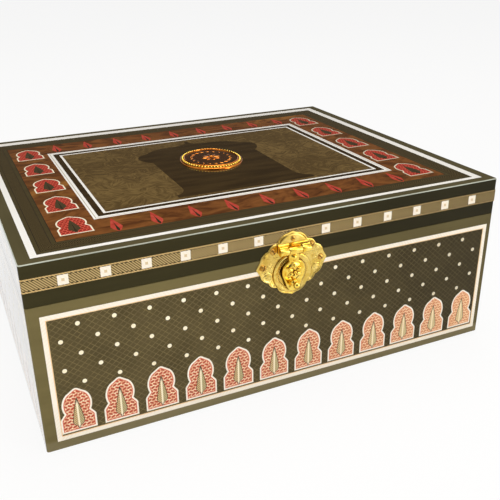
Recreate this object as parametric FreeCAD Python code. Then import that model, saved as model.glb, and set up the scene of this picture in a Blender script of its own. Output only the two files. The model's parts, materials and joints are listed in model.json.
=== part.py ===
"""A lacquered wooden presentation box with a hinged lid, a gilt hasp and a medallion on the lid.

Millimetres. X runs to the right, Y from the front to the back and Z up.
The origin is the middle of the underside, on which the box stands.
"""
import FreeCAD, Part
import math
import os
from FreeCAD import Vector

# The whole box
WIDTH = 305.0
DEPTH = 243.5
HEIGHT = 115.0
LID_HEIGHT = 24.1
SEAM_GAP = 0.3
CORNER_RADIUS = 1.5
TOP_EDGE_RADIUS = 0.8

# Wood
RAIL = 7.0
LIP_CLEARANCE = 0.8
BOTTOM_PANEL = 5.0
LID_PANEL = 5.0

# Printed sheets let into the base, and the inlaid band round the lid
SHEET = 0.4
SHEET_SIDE_MARGIN = 5.0
SHEET_TOP_MARGIN = 6.2
SHEET_BOTTOM_MARGIN = 4.6
BAND_BELOW_TOP = 8.0
BAND_WIDTH = 7.7

# Velvet covered linings
LINING = 2.0
LIP_HEIGHT = 5.0
FLOOR_LINING = 2.0
LID_PAD = 3.0

# Butt hinges with a stop, let into the back
LID_OPEN_ANGLE = 100.0
HINGE_LENGTH = 38.0
HINGE_FROM_SIDE = 41.5
HINGE_LEAF = 1.2
LEAF_MARGIN = 1.0
KNUCKLE_RADIUS = 2.5
KNUCKLE_GAP = 0.4
KNUCKLE_SIDE_GAP = 0.2
HINGE_PIN_RADIUS = 1.2
PIN_CLEARANCE = 0.05
STOP_THICKNESS = 1.6
STOP_REACH = 2.0
STOP_GAP = 0.3
HINGE_SCREW_SPACING = 24.0
HINGE_SCREW_RADIUS = 0.8
HINGE_SCREW_HEAD_RADIUS = 1.7
HINGE_SCREW_LENGTH = 9.0

# Hasp plates: one scalloped lozenge, cut in two at the seam
HASP_PLATE = 1.0
HASP_BELOW_SEAM = 5.3
HASP_SIDE_TIP = 23.5
HASP_END_TIP = 20.6
HASP_CUSPS = ((21.0, 4.2), (15.7, 10.1), (10.0, 14.1), (3.0, 19.4))
SCALLOP_RISE = 1.3
RING_BELOW_SEAM = 11.1
RING_RADIUS = 12.5
RING_WIDTH = 2.0
RING_HEIGHT = 0.6

# Hasp barrel, flap and catch
BARREL_ABOVE_SEAM = 4.4
BARREL_RADIUS = 2.4
BARREL_GAP = 0.4
BARREL_LENGTH = 20.0
BARREL_WEB = 3.0
HASP_PIN_RADIUS = 0.9
FLAP_KNUCKLE = 9.0
FLAP_SIDE_GAP = 0.25
FLAP_THICKNESS = 1.2
FLAP_STANDOFF = 1.2
FLAP_NECK_WIDTH = 6.4
FLAP_DISC_DROP = 13.5
FLAP_DISC_RADIUS = 8.3
FLAP_TIP_DROP = 22.3
FLAP_TIP_RADIUS = 4.5
DOME_RADIUS = 6.4
DOME_HEIGHT = 2.0
NECK_BOSS_DROP = 4.9
NECK_BOSS_RADIUS = 1.8
NECK_BOSS_HEIGHT = 1.0
KNOB_DROP = 21.5
KNOB_RADIUS = 2.2
KNOB_STEM_RADIUS = 1.2
KNOB_STEM_LENGTH = 1.0
BUTTON_RADIUS = 2.2
BUTTON_HEIGHT = 0.8

# Hasp screws, placed from the seam and the middle of the front
HASP_SCREW_RADIUS = 0.8
HASP_SCREW_HEAD_RADIUS = 1.9
HASP_SCREW_HEAD_HEIGHT = 1.0
HASP_SCREW_LENGTH = 6.0
LID_SIDE_SCREW_OFFSET = 12.8
LID_SIDE_SCREW_RISE = 4.4
LID_TOP_SCREW_RISE = 11.0
BASE_SCREW_OFFSET = 19.0
BASE_SCREW_DROP = 4.8
SCREW_CLEARANCE = 0.05

# Oval medallion on the lid
MEDALLION_WIDTH = 44.0
MEDALLION_LENGTH = 50.0
MEDALLION_OFFSET = 2.0
MEDALLION_PLATE = 1.6
MEDALLION_RIM_WIDTH = 3.4
MEDALLION_RIM_HEIGHT = 1.6
MEDALLION_FIELD = 0.8
ROSETTE_PETALS = 8
ROSETTE_RADIUS = 5.0
ROSETTE_PETAL_RADIUS = 2.2
ROSETTE_HEIGHT = 0.9
MEDALLION_PIN_RADIUS = 1.2
MEDALLION_PIN_SPACING = 26.0
MEDALLION_PIN_LENGTH = 4.6

# Heights and faces that several pieces share
LID_BOTTOM = HEIGHT - LID_HEIGHT
SEAM = LID_BOTTOM - SEAM_GAP
BOARD = RAIL + LIP_CLEARANCE
FRONT = -DEPTH / 2
BACK = DEPTH / 2
INNER_X = WIDTH / 2 - BOARD
INNER_Y = DEPTH / 2 - BOARD
LID_INNER_X = WIDTH / 2 - RAIL
LID_INNER_Y = DEPTH / 2 - RAIL
LID_PANEL_TOP = HEIGHT - SHEET
LID_PANEL_BOTTOM = LID_PANEL_TOP - LID_PANEL
HINGE_AXIS_Y = BACK + KNUCKLE_GAP + KNUCKLE_RADIUS
HINGE_AXIS_Z = SEAM + SEAM_GAP / 2
PLATE_FRONT = FRONT - HASP_PLATE
HASP_AXIS_Y = PLATE_FRONT - BARREL_GAP - BARREL_RADIUS
HASP_AXIS_Z = SEAM + BARREL_ABOVE_SEAM
FLAP_BACK = PLATE_FRONT - FLAP_STANDOFF
FLAP_FRONT = FLAP_BACK - FLAP_THICKNESS

SIDES = {"front": (0, -1), "back": (0, 1), "left": (-1, 0), "right": (1, 0)}
TO_FRONT = Vector(0, -1, 0)
TO_BACK = Vector(0, 1, 0)
TO_RIGHT = Vector(1, 0, 0)
UP = Vector(0, 0, 1)
DOWN = Vector(0, 0, -1)

pieces = {}


def block(x0, x1, y0, y1, z0, z1):
    """A box between two corners."""
    return Part.makeBox(x1 - x0, y1 - y0, z1 - z0, Vector(x0, y0, z0))


def rod(radius, start, direction, length):
    """A round bar from a point along a direction."""
    return Part.makeCylinder(radius, length, start, direction)


def cap(radius, height, centre, direction):
    """A shallow dome that stands on a flat face."""
    ball_radius = (radius ** 2 + height ** 2) / (2 * height)
    ball = Part.makeSphere(ball_radius, centre - direction * (ball_radius - height))
    return ball.common(rod(radius * 1.5, centre, direction, height * 1.5))


def joined(first, *others):
    """One solid from several that overlap."""
    return first.multiFuse(list(others)).removeSplitter().Solids[0]


def rounded_prism(width, depth, radius, z0, z1):
    """A block centred on the origin with rounded upright corners."""
    solid = block(-width / 2, width / 2, -depth / 2, depth / 2, z0, z1)
    upright = [edge for edge in solid.Edges if edge.BoundBox.ZLength > (z1 - z0) / 2]
    return solid.makeFillet(radius, upright)


def side_frame(side):
    """Outward direction, sideways direction, and the half sizes along them."""
    nx, ny = SIDES[side]
    outward = Vector(nx, ny, 0)
    sideways = Vector(-ny, nx, 0)
    if nx:
        return outward, sideways, WIDTH / 2, DEPTH / 2
    return outward, sideways, DEPTH / 2, WIDTH / 2


def mitred(ring, side):
    """The stretch of a ring on one side, cut at 45 degrees at its two ends."""
    outward, sideways, half_out, half_side = side_frame(side)
    beyond = BOARD
    within = 3 * BOARD
    outline = []
    for reach, sign in ((beyond, -1), (beyond, 1), (-within, 1), (-within, -1)):
        outline.append(outward * (half_out + reach) + sideways * (sign * (half_side + reach)))
    outline.append(outline[0])
    wedge = Part.Face(Part.makePolygon(outline)).extrude(UP * HEIGHT)
    return ring.common(wedge).Solids[0]


def drilled(solid, holes):
    """A solid with holes cut in it."""
    for hole in holes:
        solid = solid.cut(hole)
    return solid.Solids[0]


def make_base():
    """Four mitred boards with a printed sheet let into each, and the bottom between them."""
    ring = rounded_prism(WIDTH, DEPTH, CORNER_RADIUS, 0, SEAM)
    ring = ring.cut(block(-INNER_X, INNER_X, -INNER_Y, INNER_Y, 0, SEAM))
    for side in SIDES:
        outward, sideways, half_out, half_side = side_frame(side)
        reach = sideways * (half_side - SHEET_SIDE_MARGIN)
        low = outward * (half_out - SHEET) - reach
        high = outward * half_out + reach
        xs = sorted((low.x, high.x))
        ys = sorted((low.y, high.y))
        sheet = block(*xs, *ys, SHEET_BOTTOM_MARGIN, SEAM - SHEET_TOP_MARGIN)
        pieces[f"base_{side}_sheet"] = sheet
        pieces[f"base_{side}_board"] = mitred(ring, side).cut(sheet)
    pieces["bottom_panel"] = block(-INNER_X, INNER_X, -INNER_Y, INNER_Y, 0, BOTTOM_PANEL)


def make_linings():
    """Velvet covered boards inside the base, which guide the lid, and the pad inside the lid."""
    lip_top = SEAM + LIP_HEIGHT
    inside_x = INNER_X - LINING
    inside_y = INNER_Y - LINING
    pieces["front_lining"] = block(-INNER_X, INNER_X, -INNER_Y, -inside_y, BOTTOM_PANEL, lip_top)
    pieces["back_lining"] = block(-INNER_X, INNER_X, inside_y, INNER_Y, BOTTOM_PANEL, lip_top)
    pieces["left_lining"] = block(-INNER_X, -inside_x, -inside_y, inside_y, BOTTOM_PANEL, lip_top)
    pieces["right_lining"] = block(inside_x, INNER_X, -inside_y, inside_y, BOTTOM_PANEL, lip_top)
    floor_top = BOTTOM_PANEL + FLOOR_LINING
    pieces["floor_lining"] = block(-inside_x, inside_x, -inside_y, inside_y, BOTTOM_PANEL, floor_top)
    pad_bottom = LID_PANEL_BOTTOM - LID_PAD
    pieces["lid_pad"] = block(
        -LID_INNER_X, LID_INNER_X, -LID_INNER_Y, LID_INNER_Y, pad_bottom, LID_PANEL_BOTTOM
    )


def make_lid():
    """Four mitred rails with an inlaid band, and the top with its printed sheet between them."""
    ring = rounded_prism(WIDTH, DEPTH, CORNER_RADIUS, LID_BOTTOM, HEIGHT)
    top_edges = [edge for edge in ring.Edges if edge.BoundBox.ZMin > HEIGHT - SEAM_GAP]
    ring = ring.makeFillet(TOP_EDGE_RADIUS, top_edges)
    ring = ring.cut(block(-LID_INNER_X, LID_INNER_X, -LID_INNER_Y, LID_INNER_Y, LID_BOTTOM, HEIGHT))
    band_top = HEIGHT - BAND_BELOW_TOP
    band_bottom = band_top - BAND_WIDTH
    band = rounded_prism(WIDTH, DEPTH, CORNER_RADIUS, band_bottom, band_top)
    core = rounded_prism(
        WIDTH - 2 * SHEET, DEPTH - 2 * SHEET, CORNER_RADIUS - SHEET, band_bottom, band_top
    )
    band = band.cut(core)
    ring = ring.cut(band)
    for side in SIDES:
        pieces[f"lid_{side}_rail"] = mitred(ring, side)
        pieces[f"lid_{side}_band"] = mitred(band, side)
    span = (-LID_INNER_X, LID_INNER_X, -LID_INNER_Y, LID_INNER_Y)
    pieces["lid_top_panel"] = block(*span, LID_PANEL_BOTTOM, LID_PANEL_TOP)
    pieces["lid_top_sheet"] = block(*span, LID_PANEL_TOP, HEIGHT)


def hinge_knuckle(x0, index):
    """The stretch along X of one of a hinge's three knuckles."""
    length = HINGE_LENGTH / 3
    start = x0 + index * length
    end = start + length
    if index > 0:
        start += KNUCKLE_SIDE_GAP / 2
    if index < 2:
        end -= KNUCKLE_SIDE_GAP / 2
    return start, end


def hinge_leaf(x0, indices, z0):
    """A flat leaf in its mortise, with arms out to its own knuckles."""
    leaf_front = BACK - (RAIL - LEAF_MARGIN)
    plate = block(x0, x0 + HINGE_LENGTH, leaf_front, BACK, z0, z0 + HINGE_LEAF)
    parts = []
    for index in indices:
        start, end = hinge_knuckle(x0, index)
        parts.append(block(start, end, leaf_front, HINGE_AXIS_Y, z0, z0 + HINGE_LEAF))
        parts.append(rod(KNUCKLE_RADIUS, Vector(start, HINGE_AXIS_Y, HINGE_AXIS_Z), TO_RIGHT, end - start))
    return joined(plate, *parts)


def stop_fin(start, end, inner_radius):
    """A fin that stands up from the hinge's axis."""
    return block(
        start, end, HINGE_AXIS_Y - STOP_THICKNESS / 2, HINGE_AXIS_Y + STOP_THICKNESS / 2,
        HINGE_AXIS_Z + inner_radius, HINGE_AXIS_Z + KNUCKLE_RADIUS + STOP_REACH,
    )


def countersunk_screw(seat, direction, extra):
    """A screw whose flat head lies flush with the face at its seat; extra widens it into a hole."""
    head = HINGE_SCREW_HEAD_RADIUS + extra
    shank = HINGE_SCREW_RADIUS + extra
    cone = Part.makeCone(head, shank, head - shank, seat, direction)
    return joined(cone, rod(shank, seat, direction, HINGE_SCREW_LENGTH + extra))


def make_hinges():
    """Two butt hinges: leaves in the back board and the back rail, pins, screws and stops."""
    base_screws = []
    lid_screws = []
    seat_y = BACK - (RAIL - LEAF_MARGIN) / 2
    axis = Vector(0, HINGE_AXIS_Y, HINGE_AXIS_Z)
    bite = KNUCKLE_RADIUS - STOP_GAP
    stop_turn = LID_OPEN_ANGLE + 2 * math.degrees(math.asin(STOP_THICKNESS / 2 / KNUCKLE_RADIUS))
    offset = WIDTH / 2 - HINGE_FROM_SIDE - HINGE_LENGTH / 2
    for name, middle in (("left", -offset), ("right", offset)):
        x0 = middle - HINGE_LENGTH / 2
        base_leaf = hinge_leaf(x0, (0, 2), SEAM - HINGE_LEAF)
        lid_leaf = hinge_leaf(x0, (1,), LID_BOTTOM)
        mortise = (x0, x0 + HINGE_LENGTH, BACK - (RAIL - LEAF_MARGIN), BACK)
        base_mortise = block(*mortise, SEAM - HINGE_LEAF, SEAM)
        lid_mortise = block(*mortise, LID_BOTTOM, LID_BOTTOM + HINGE_LEAF)

        # The lid's fin meets the bar across the base's knuckles when the lid is fully open.
        lid_leaf = joined(lid_leaf, stop_fin(*hinge_knuckle(x0, 1), bite))
        stop_bar = stop_fin(x0, x0 + HINGE_LENGTH, KNUCKLE_RADIUS + STOP_GAP)
        feet = [stop_fin(*hinge_knuckle(x0, index), bite) for index in (0, 2)]
        stop_bar = joined(stop_bar, *feet)
        stop_bar.rotate(axis, TO_RIGHT, -stop_turn)
        base_leaf = joined(base_leaf, stop_bar)

        pin_start = Vector(x0, HINGE_AXIS_Y, HINGE_AXIS_Z)
        bore = rod(HINGE_PIN_RADIUS + PIN_CLEARANCE, pin_start, TO_RIGHT, HINGE_LENGTH)
        pieces[f"hinge_{name}_pin"] = rod(HINGE_PIN_RADIUS, pin_start, TO_RIGHT, HINGE_LENGTH)

        base_holes = []
        lid_holes = []
        for sign in (-1, 1):
            x = middle + sign * HINGE_SCREW_SPACING / 2
            base_seat = Vector(x, seat_y, SEAM)
            lid_seat = Vector(x, seat_y, LID_BOTTOM)
            base_screws.append(countersunk_screw(base_seat, DOWN, 0))
            lid_screws.append(countersunk_screw(lid_seat, UP, 0))
            base_holes.append(countersunk_screw(base_seat, DOWN, SCREW_CLEARANCE))
            lid_holes.append(countersunk_screw(lid_seat, UP, SCREW_CLEARANCE))
        pieces[f"hinge_{name}_base_leaf"] = drilled(base_leaf, [bore, *base_holes])
        pieces[f"hinge_{name}_lid_leaf"] = drilled(lid_leaf, [bore, *lid_holes])
        for node, cuts in (
            ("base_back_board", [base_mortise, *base_holes]),
            ("lid_back_rail", [lid_mortise, *lid_holes]),
        ):
            pieces[node] = drilled(pieces[node], cuts)
    pieces["hinge_base_screws"] = Part.makeCompound(base_screws)
    pieces["hinge_lid_screws"] = Part.makeCompound(lid_screws)


def scalloped_lozenge():
    """The outline of both hasp plates as one plate: cusps joined by arcs, with four pointed tips."""
    quarter = [(HASP_SIDE_TIP, 0), *HASP_CUSPS, (0, HASP_END_TIP)]
    middle = SEAM - HASP_BELOW_SEAM
    edges = []
    for sign_x, sign_z in ((1, -1), (-1, -1), (-1, 1), (1, 1)):
        points = [Vector(sign_x * x, FRONT, middle + sign_z * z) for x, z in quarter]
        for index in range(len(points) - 1):
            start, end = points[index], points[index + 1]
            if 0 < index < len(points) - 2:
                outward = (end - start).cross(TO_FRONT).normalize()
                half = (start + end) / 2
                if outward.dot(half - Vector(0, FRONT, middle)) < 0:
                    outward = -outward
                edges.append(Part.Arc(start, half + outward * SCALLOP_RISE, end).toShape())
            else:
                edges.append(Part.LineSegment(start, end).toShape())
    outline = Part.Wire(Part.__sortEdges__(edges))
    return Part.Face(outline).extrude(TO_FRONT * HASP_PLATE)


def barrel_piece(start, end):
    """One round knuckle of the hasp's barrel."""
    return rod(BARREL_RADIUS, Vector(start, HASP_AXIS_Y, HASP_AXIS_Z), TO_RIGHT, end - start)


def round_head_screw(x, z, extra):
    """A screw through a hasp plate; extra widens its shank into a hole without a head."""
    seat = Vector(x, PLATE_FRONT, z)
    shank = rod(HASP_SCREW_RADIUS + extra, seat, TO_BACK, HASP_SCREW_LENGTH + extra)
    if extra:
        return shank
    return joined(shank, cap(HASP_SCREW_HEAD_RADIUS, HASP_SCREW_HEAD_HEIGHT, seat, TO_FRONT))


def hasp_screws(places, nodes, group):
    """Screws at the given places, and their holes in the pieces that they pass through."""
    pieces[group] = Part.makeCompound([round_head_screw(x, z, 0) for x, z in places])
    holes = [round_head_screw(x, z, SCREW_CLEARANCE) for x, z in places]
    for node in nodes:
        pieces[node] = drilled(pieces[node], holes)


def make_hasp_plates():
    """The lid's plate with its two knuckles, the base's plate with its raised ring, and the catch."""
    plate = scalloped_lozenge()
    reach = HASP_SIDE_TIP + HASP_END_TIP
    above = block(-reach, reach, FRONT - reach, FRONT, LID_BOTTOM, LID_BOTTOM + reach)
    below = block(-reach, reach, FRONT - reach, FRONT, SEAM - reach, SEAM)

    web = (
        HASP_AXIS_Y, PLATE_FRONT + HASP_PLATE / 2,
        HASP_AXIS_Z - BARREL_WEB / 2, HASP_AXIS_Z + BARREL_WEB / 2,
    )
    knuckles = []
    for sign in (-1, 1):
        start, end = sorted((sign * FLAP_KNUCKLE / 2, sign * BARREL_LENGTH / 2))
        knuckles.append(barrel_piece(start, end))
        knuckles.append(block(start, end, *web))
    pin_start = Vector(-BARREL_LENGTH / 2, HASP_AXIS_Y, HASP_AXIS_Z)
    bore = rod(HASP_PIN_RADIUS + PIN_CLEARANCE, pin_start, TO_RIGHT, BARREL_LENGTH)
    pieces["hasp_lid_plate"] = joined(plate.common(above), *knuckles).cut(bore)
    pieces["hasp_pin"] = rod(HASP_PIN_RADIUS, pin_start, TO_RIGHT, BARREL_LENGTH)

    ring_centre = Vector(0, PLATE_FRONT + HASP_PLATE / 2, SEAM - RING_BELOW_SEAM)
    ring_depth = HASP_PLATE / 2 + RING_HEIGHT
    ring = rod(RING_RADIUS, ring_centre, TO_FRONT, ring_depth)
    ring = ring.cut(rod(RING_RADIUS - RING_WIDTH, ring_centre, TO_FRONT, ring_depth))
    pieces["hasp_base_plate"] = joined(plate.common(below), ring.common(below))
    button_seat = Vector(0, PLATE_FRONT, HASP_AXIS_Z - FLAP_DISC_DROP)
    pieces["hasp_snap_button"] = cap(BUTTON_RADIUS, BUTTON_HEIGHT, button_seat, TO_FRONT)

    lid_side_z = SEAM + LID_SIDE_SCREW_RISE
    lid_places = [(-LID_SIDE_SCREW_OFFSET, lid_side_z), (LID_SIDE_SCREW_OFFSET, lid_side_z)]
    lid_places.append((0, SEAM + LID_TOP_SCREW_RISE))
    hasp_screws(lid_places, ("hasp_lid_plate", "lid_front_rail", "lid_front_band"), "hasp_lid_screws")
    base_z = SEAM - BASE_SCREW_DROP
    base_places = [(-BASE_SCREW_OFFSET, base_z), (BASE_SCREW_OFFSET, base_z)]
    base_nodes = ("hasp_base_plate", "base_front_board", "base_front_sheet")
    hasp_screws(base_places, base_nodes, "hasp_base_screws")


def make_flap():
    """The hanging flap: a knuckle, a neck, a domed disc and a narrower tip with a knob."""
    disc_z = HASP_AXIS_Z - FLAP_DISC_DROP
    tip_z = HASP_AXIS_Z - FLAP_TIP_DROP
    knuckle_end = FLAP_KNUCKLE / 2 - FLAP_SIDE_GAP
    knuckle = barrel_piece(-knuckle_end, knuckle_end)
    half_neck = FLAP_NECK_WIDTH / 2
    neck = block(-half_neck, half_neck, FLAP_FRONT, FLAP_BACK, disc_z, HASP_AXIS_Z)
    disc = rod(FLAP_DISC_RADIUS, Vector(0, FLAP_BACK, disc_z), TO_FRONT, FLAP_THICKNESS)
    tip = rod(FLAP_TIP_RADIUS, Vector(0, FLAP_BACK, tip_z), TO_FRONT, FLAP_THICKNESS)

    # Straight flanks touch both rounds, so they stand square to the same direction.
    fall = -(FLAP_DISC_RADIUS - FLAP_TIP_RADIUS) / (disc_z - tip_z)
    across = math.sqrt(1 - fall ** 2)
    flank = []
    for z, radius in ((disc_z, FLAP_DISC_RADIUS), (tip_z, FLAP_TIP_RADIUS)):
        flank.append((radius * across, z + radius * fall))
    (x1, z1), (x2, z2) = flank
    corners = [(x1, z1), (x2, z2), (-x2, z2), (-x1, z1), (x1, z1)]
    outline = Part.makePolygon([Vector(x, FLAP_BACK, z) for x, z in corners])
    flanks = Part.Face(outline).extrude(TO_FRONT * FLAP_THICKNESS)

    dome = cap(DOME_RADIUS, DOME_HEIGHT, Vector(0, FLAP_FRONT, disc_z), TO_FRONT)
    boss_seat = Vector(0, FLAP_FRONT, HASP_AXIS_Z - NECK_BOSS_DROP)
    boss = cap(NECK_BOSS_RADIUS, NECK_BOSS_HEIGHT, boss_seat, TO_FRONT)
    flap = joined(knuckle, neck, disc, tip, flanks, dome, boss)
    pin_start = Vector(-BARREL_LENGTH / 2, HASP_AXIS_Y, HASP_AXIS_Z)
    bore = rod(HASP_PIN_RADIUS + PIN_CLEARANCE, pin_start, TO_RIGHT, BARREL_LENGTH)
    pieces["hasp_flap"] = flap.cut(bore).Solids[0]

    knob_seat = Vector(0, FLAP_FRONT, HASP_AXIS_Z - KNOB_DROP)
    ball = Part.makeSphere(KNOB_RADIUS, knob_seat + TO_FRONT * (KNOB_STEM_LENGTH + KNOB_RADIUS))
    stem = rod(KNOB_STEM_RADIUS, knob_seat, TO_FRONT, KNOB_STEM_LENGTH + KNOB_RADIUS)
    pieces["hasp_knob"] = joined(ball, stem)


def oval(width, length, z0, z1):
    """An upright oval block at the medallion's place."""
    centre = Vector(0, MEDALLION_OFFSET, z0)
    across = centre + Vector(width / 2, 0, 0)
    along = centre + Vector(0, length / 2, 0)
    if width > length:
        across, along = along, across
    edge = Part.Ellipse(along, across, centre).toShape()
    return Part.Face(Part.Wire(edge)).extrude(UP * (z1 - z0))


def make_medallion():
    """The raised oval ornament: a gilt frame, a dark field, a rosette and two pins in the lid."""
    plate_top = HEIGHT + MEDALLION_PLATE
    rim_top = plate_top + MEDALLION_RIM_HEIGHT
    field_top = plate_top + MEDALLION_FIELD
    inner = (MEDALLION_WIDTH - 2 * MEDALLION_RIM_WIDTH, MEDALLION_LENGTH - 2 * MEDALLION_RIM_WIDTH)
    frame = oval(MEDALLION_WIDTH, MEDALLION_LENGTH, HEIGHT, rim_top)
    pieces["medallion_frame"] = frame.cut(oval(*inner, plate_top, rim_top))
    pieces["medallion_field"] = oval(*inner, plate_top, field_top)

    centre = Vector(0, MEDALLION_OFFSET, field_top)
    petals = []
    for index in range(ROSETTE_PETALS):
        angle = 2 * math.pi * index / ROSETTE_PETALS
        outward = Vector(math.cos(angle), math.sin(angle), 0)
        petals.append(rod(ROSETTE_PETAL_RADIUS, centre + outward * ROSETTE_RADIUS, UP, ROSETTE_HEIGHT))
    heart = rod(ROSETTE_RADIUS, centre, UP, ROSETTE_HEIGHT)
    pieces["medallion_rosette"] = joined(heart, *petals)

    pins = []
    holes = []
    for sign in (-1, 1):
        seat = Vector(0, MEDALLION_OFFSET + sign * MEDALLION_PIN_SPACING / 2, HEIGHT)
        pins.append(rod(MEDALLION_PIN_RADIUS, seat, DOWN, MEDALLION_PIN_LENGTH))
        radius = MEDALLION_PIN_RADIUS + PIN_CLEARANCE
        holes.append(rod(radius, seat, DOWN, MEDALLION_PIN_LENGTH + PIN_CLEARANCE))
    pieces["medallion_pins"] = Part.makeCompound(pins)
    for node in ("lid_top_sheet", "lid_top_panel"):
        pieces[node] = drilled(pieces[node], holes)


make_base()
make_linings()
make_lid()
make_hinges()
make_hasp_plates()
make_flap()
make_medallion()

os.makedirs("parts", exist_ok=True)
for node, shape in sorted(pieces.items()):
    shape.exportStep(f"parts/{node}.step")
    print(f"{node}: {len(shape.Solids)} solids, {shape.Volume:.1f} mm3, valid {shape.isValid()}")
print(f"{len(pieces)} pieces, hinge axis y {HINGE_AXIS_Y:.2f} z {HINGE_AXIS_Z:.2f}")
print(f"hasp axis y {HASP_AXIS_Y:.2f} z {HASP_AXIS_Z:.2f}")
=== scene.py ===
# %% [markdown]
# # A lacquered presentation box
#
# The real thing is a low wooden box with a hinged lid. Its faces carry printed veneer under glossy
# lacquer, a striped band runs round the lid, and a gilt hasp closes the front. The CAD model already
# holds every board, sheet and screw in its place, so it is loaded first as a fixed frame. Blender adds
# what CAD leaves out: the printed ornament, the embossing of the metal, the velvet and the finishes.

import json
import math

import bmesh
import bpy
from mathutils import Matrix, Vector, geometry


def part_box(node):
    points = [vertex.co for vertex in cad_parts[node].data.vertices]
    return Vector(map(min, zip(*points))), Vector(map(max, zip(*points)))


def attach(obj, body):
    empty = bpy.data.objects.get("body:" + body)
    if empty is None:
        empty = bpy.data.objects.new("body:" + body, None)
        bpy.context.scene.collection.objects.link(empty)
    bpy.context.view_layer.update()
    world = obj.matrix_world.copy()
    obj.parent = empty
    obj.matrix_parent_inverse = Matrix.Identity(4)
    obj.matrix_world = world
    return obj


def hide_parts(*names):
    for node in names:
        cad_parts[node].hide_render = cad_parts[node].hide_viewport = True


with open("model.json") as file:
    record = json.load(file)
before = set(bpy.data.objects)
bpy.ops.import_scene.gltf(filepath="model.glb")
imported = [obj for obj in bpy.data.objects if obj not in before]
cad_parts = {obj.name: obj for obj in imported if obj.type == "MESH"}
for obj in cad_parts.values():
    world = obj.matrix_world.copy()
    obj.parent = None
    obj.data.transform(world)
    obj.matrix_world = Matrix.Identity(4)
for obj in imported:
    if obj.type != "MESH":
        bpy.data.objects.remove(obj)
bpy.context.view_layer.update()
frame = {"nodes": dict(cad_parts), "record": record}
nodes = frame["nodes"]
MM = 0.001

# %% [markdown]
# ## The camera
#
# A camera can be placed by eye, or worked out from the picture. Here the box's straight edges were
# measured in the picture and a pinhole camera was fitted to them, so that corners land within half a
# pixel. The three angles turn the camera about its own view, then up from straight down, then round
# the box.

# %% Camera
VIEW_YAW = math.radians(-24.753)
VIEW_TILT = math.radians(65.8863)
VIEW_ROLL = math.radians(-0.6146)
VIEW_PLACE = Vector((-0.17732, -0.4477, 0.25952))
VIEW_LENS = 49.948

camera_data = bpy.data.cameras.new("view")
camera_data.lens = VIEW_LENS
camera_data.sensor_width = 36.0
camera_data.clip_start = 0.01
camera = bpy.data.objects.new("view", camera_data)
bpy.context.scene.collection.objects.link(camera)
turn = Matrix.Rotation(VIEW_YAW, 4, "Z") @ Matrix.Rotation(VIEW_TILT, 4, "X")
camera.matrix_world = Matrix.Translation(VIEW_PLACE) @ turn @ Matrix.Rotation(VIEW_ROLL, 4, "Z")
bpy.context.scene.camera = camera
bpy.context.scene.view_settings.view_transform = "Standard"
print("camera at", [round(c, 3) for c in camera.location])

# %% [markdown]
# ## Short calls for nodes
#
# A material is a tree of nodes. Adding each node and each link by hand takes many lines, so a few
# helpers do it: one adds a node and fills its inputs, one does sums, one mixes two colours. Colours are
# written as they look on a screen, from 0 to 255, and turned into the linear light that shaders use.

# %% Node helpers
def paint(red, green, blue):
    """A screen colour as the linear RGBA that a shader socket takes."""
    def linear(channel):
        part = channel / 255.0
        return part / 12.92 if part <= 0.04045 else ((part + 0.055) / 1.055) ** 2.4
    return (linear(red), linear(green), linear(blue), 1.0)


def add_node(tree, kind, inputs=None, **settings):
    """Adds a node, sets its settings, and links or fills its inputs."""
    made = tree.nodes.new(kind)
    for key, value in settings.items():
        setattr(made, key, value)
    for key, value in (inputs or {}).items():
        if isinstance(value, bpy.types.NodeSocket):
            tree.links.new(value, made.inputs[key])
        else:
            made.inputs[key].default_value = value
    return made


def sums(tree, operation, *values):
    """A Math node's result. Each value is a number or another node's socket."""
    inputs = dict(enumerate(values))
    return add_node(tree, "ShaderNodeMath", inputs, operation=operation).outputs[0]


def mixed(tree, factor, first, second):
    """Two colours mixed by a factor."""
    inputs = {0: factor, 6: first, 7: second}
    return add_node(tree, "ShaderNodeMix", inputs, data_type="RGBA").outputs[2]


def between(tree, value, low, high, smooth="SMOOTHSTEP"):
    """0 below low, 1 above high, and a smooth rise between them."""
    inputs = {"Value": value, "From Min": low, "From Max": high}
    return add_node(tree, "ShaderNodeMapRange", inputs, interpolation_type=smooth).outputs[0]


def cloud(tree, vector, scale, detail=4.0, roughness=0.55, distortion=0.0):
    """Soft noise from 0 to 1."""
    inputs = {"Vector": vector, "Scale": scale, "Detail": detail,
              "Roughness": roughness, "Distortion": distortion}
    return add_node(tree, "ShaderNodeTexNoise", inputs).outputs[0]


def parts_of(tree, vector):
    """The X, Y and Z sockets of a vector."""
    return add_node(tree, "ShaderNodeSeparateXYZ", {0: vector}).outputs


def start_group(name, inputs, outputs):
    """An empty node group with float sockets, apart from Vector."""
    group = bpy.data.node_groups.new(name, "ShaderNodeTree")
    for label in inputs:
        kind = "NodeSocketVector" if label == "Vector" else "NodeSocketFloat"
        group.interface.new_socket(label, in_out="INPUT", socket_type=kind)
    for label in outputs:
        group.interface.new_socket(label, in_out="OUTPUT", socket_type="NodeSocketFloat")
    return group, group.nodes.new("NodeGroupInput").outputs, group.nodes.new("NodeGroupOutput").inputs


def place_group(tree, group, **values):
    """A copy of a node group in a tree. Underscores in the names stand for spaces."""
    inputs = {key.replace("_", " "): value for key, value in values.items()}
    return add_node(tree, "ShaderNodeGroup", inputs, node_tree=group).outputs


def bumpy(tree, shader, strength, distance, height):
    """Lets a height socket ripple the surface."""
    inputs = {"Strength": strength, "Distance": distance, "Height": height}
    tree.links.new(add_node(tree, "ShaderNodeBump", inputs).outputs[0], shader.inputs["Normal"])


finishes = {}


def finish_start(key, name):
    """A new material, kept under a short key. Gives its tree, its shader and its object coordinates."""
    material = bpy.data.materials.new(name)
    material.use_nodes = True
    finishes[key] = material
    tree = material.node_tree
    spots = add_node(tree, "ShaderNodeTexCoord").outputs["Object"]
    return tree, tree.nodes["Principled BSDF"], spots


print("node helpers ready")

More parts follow.
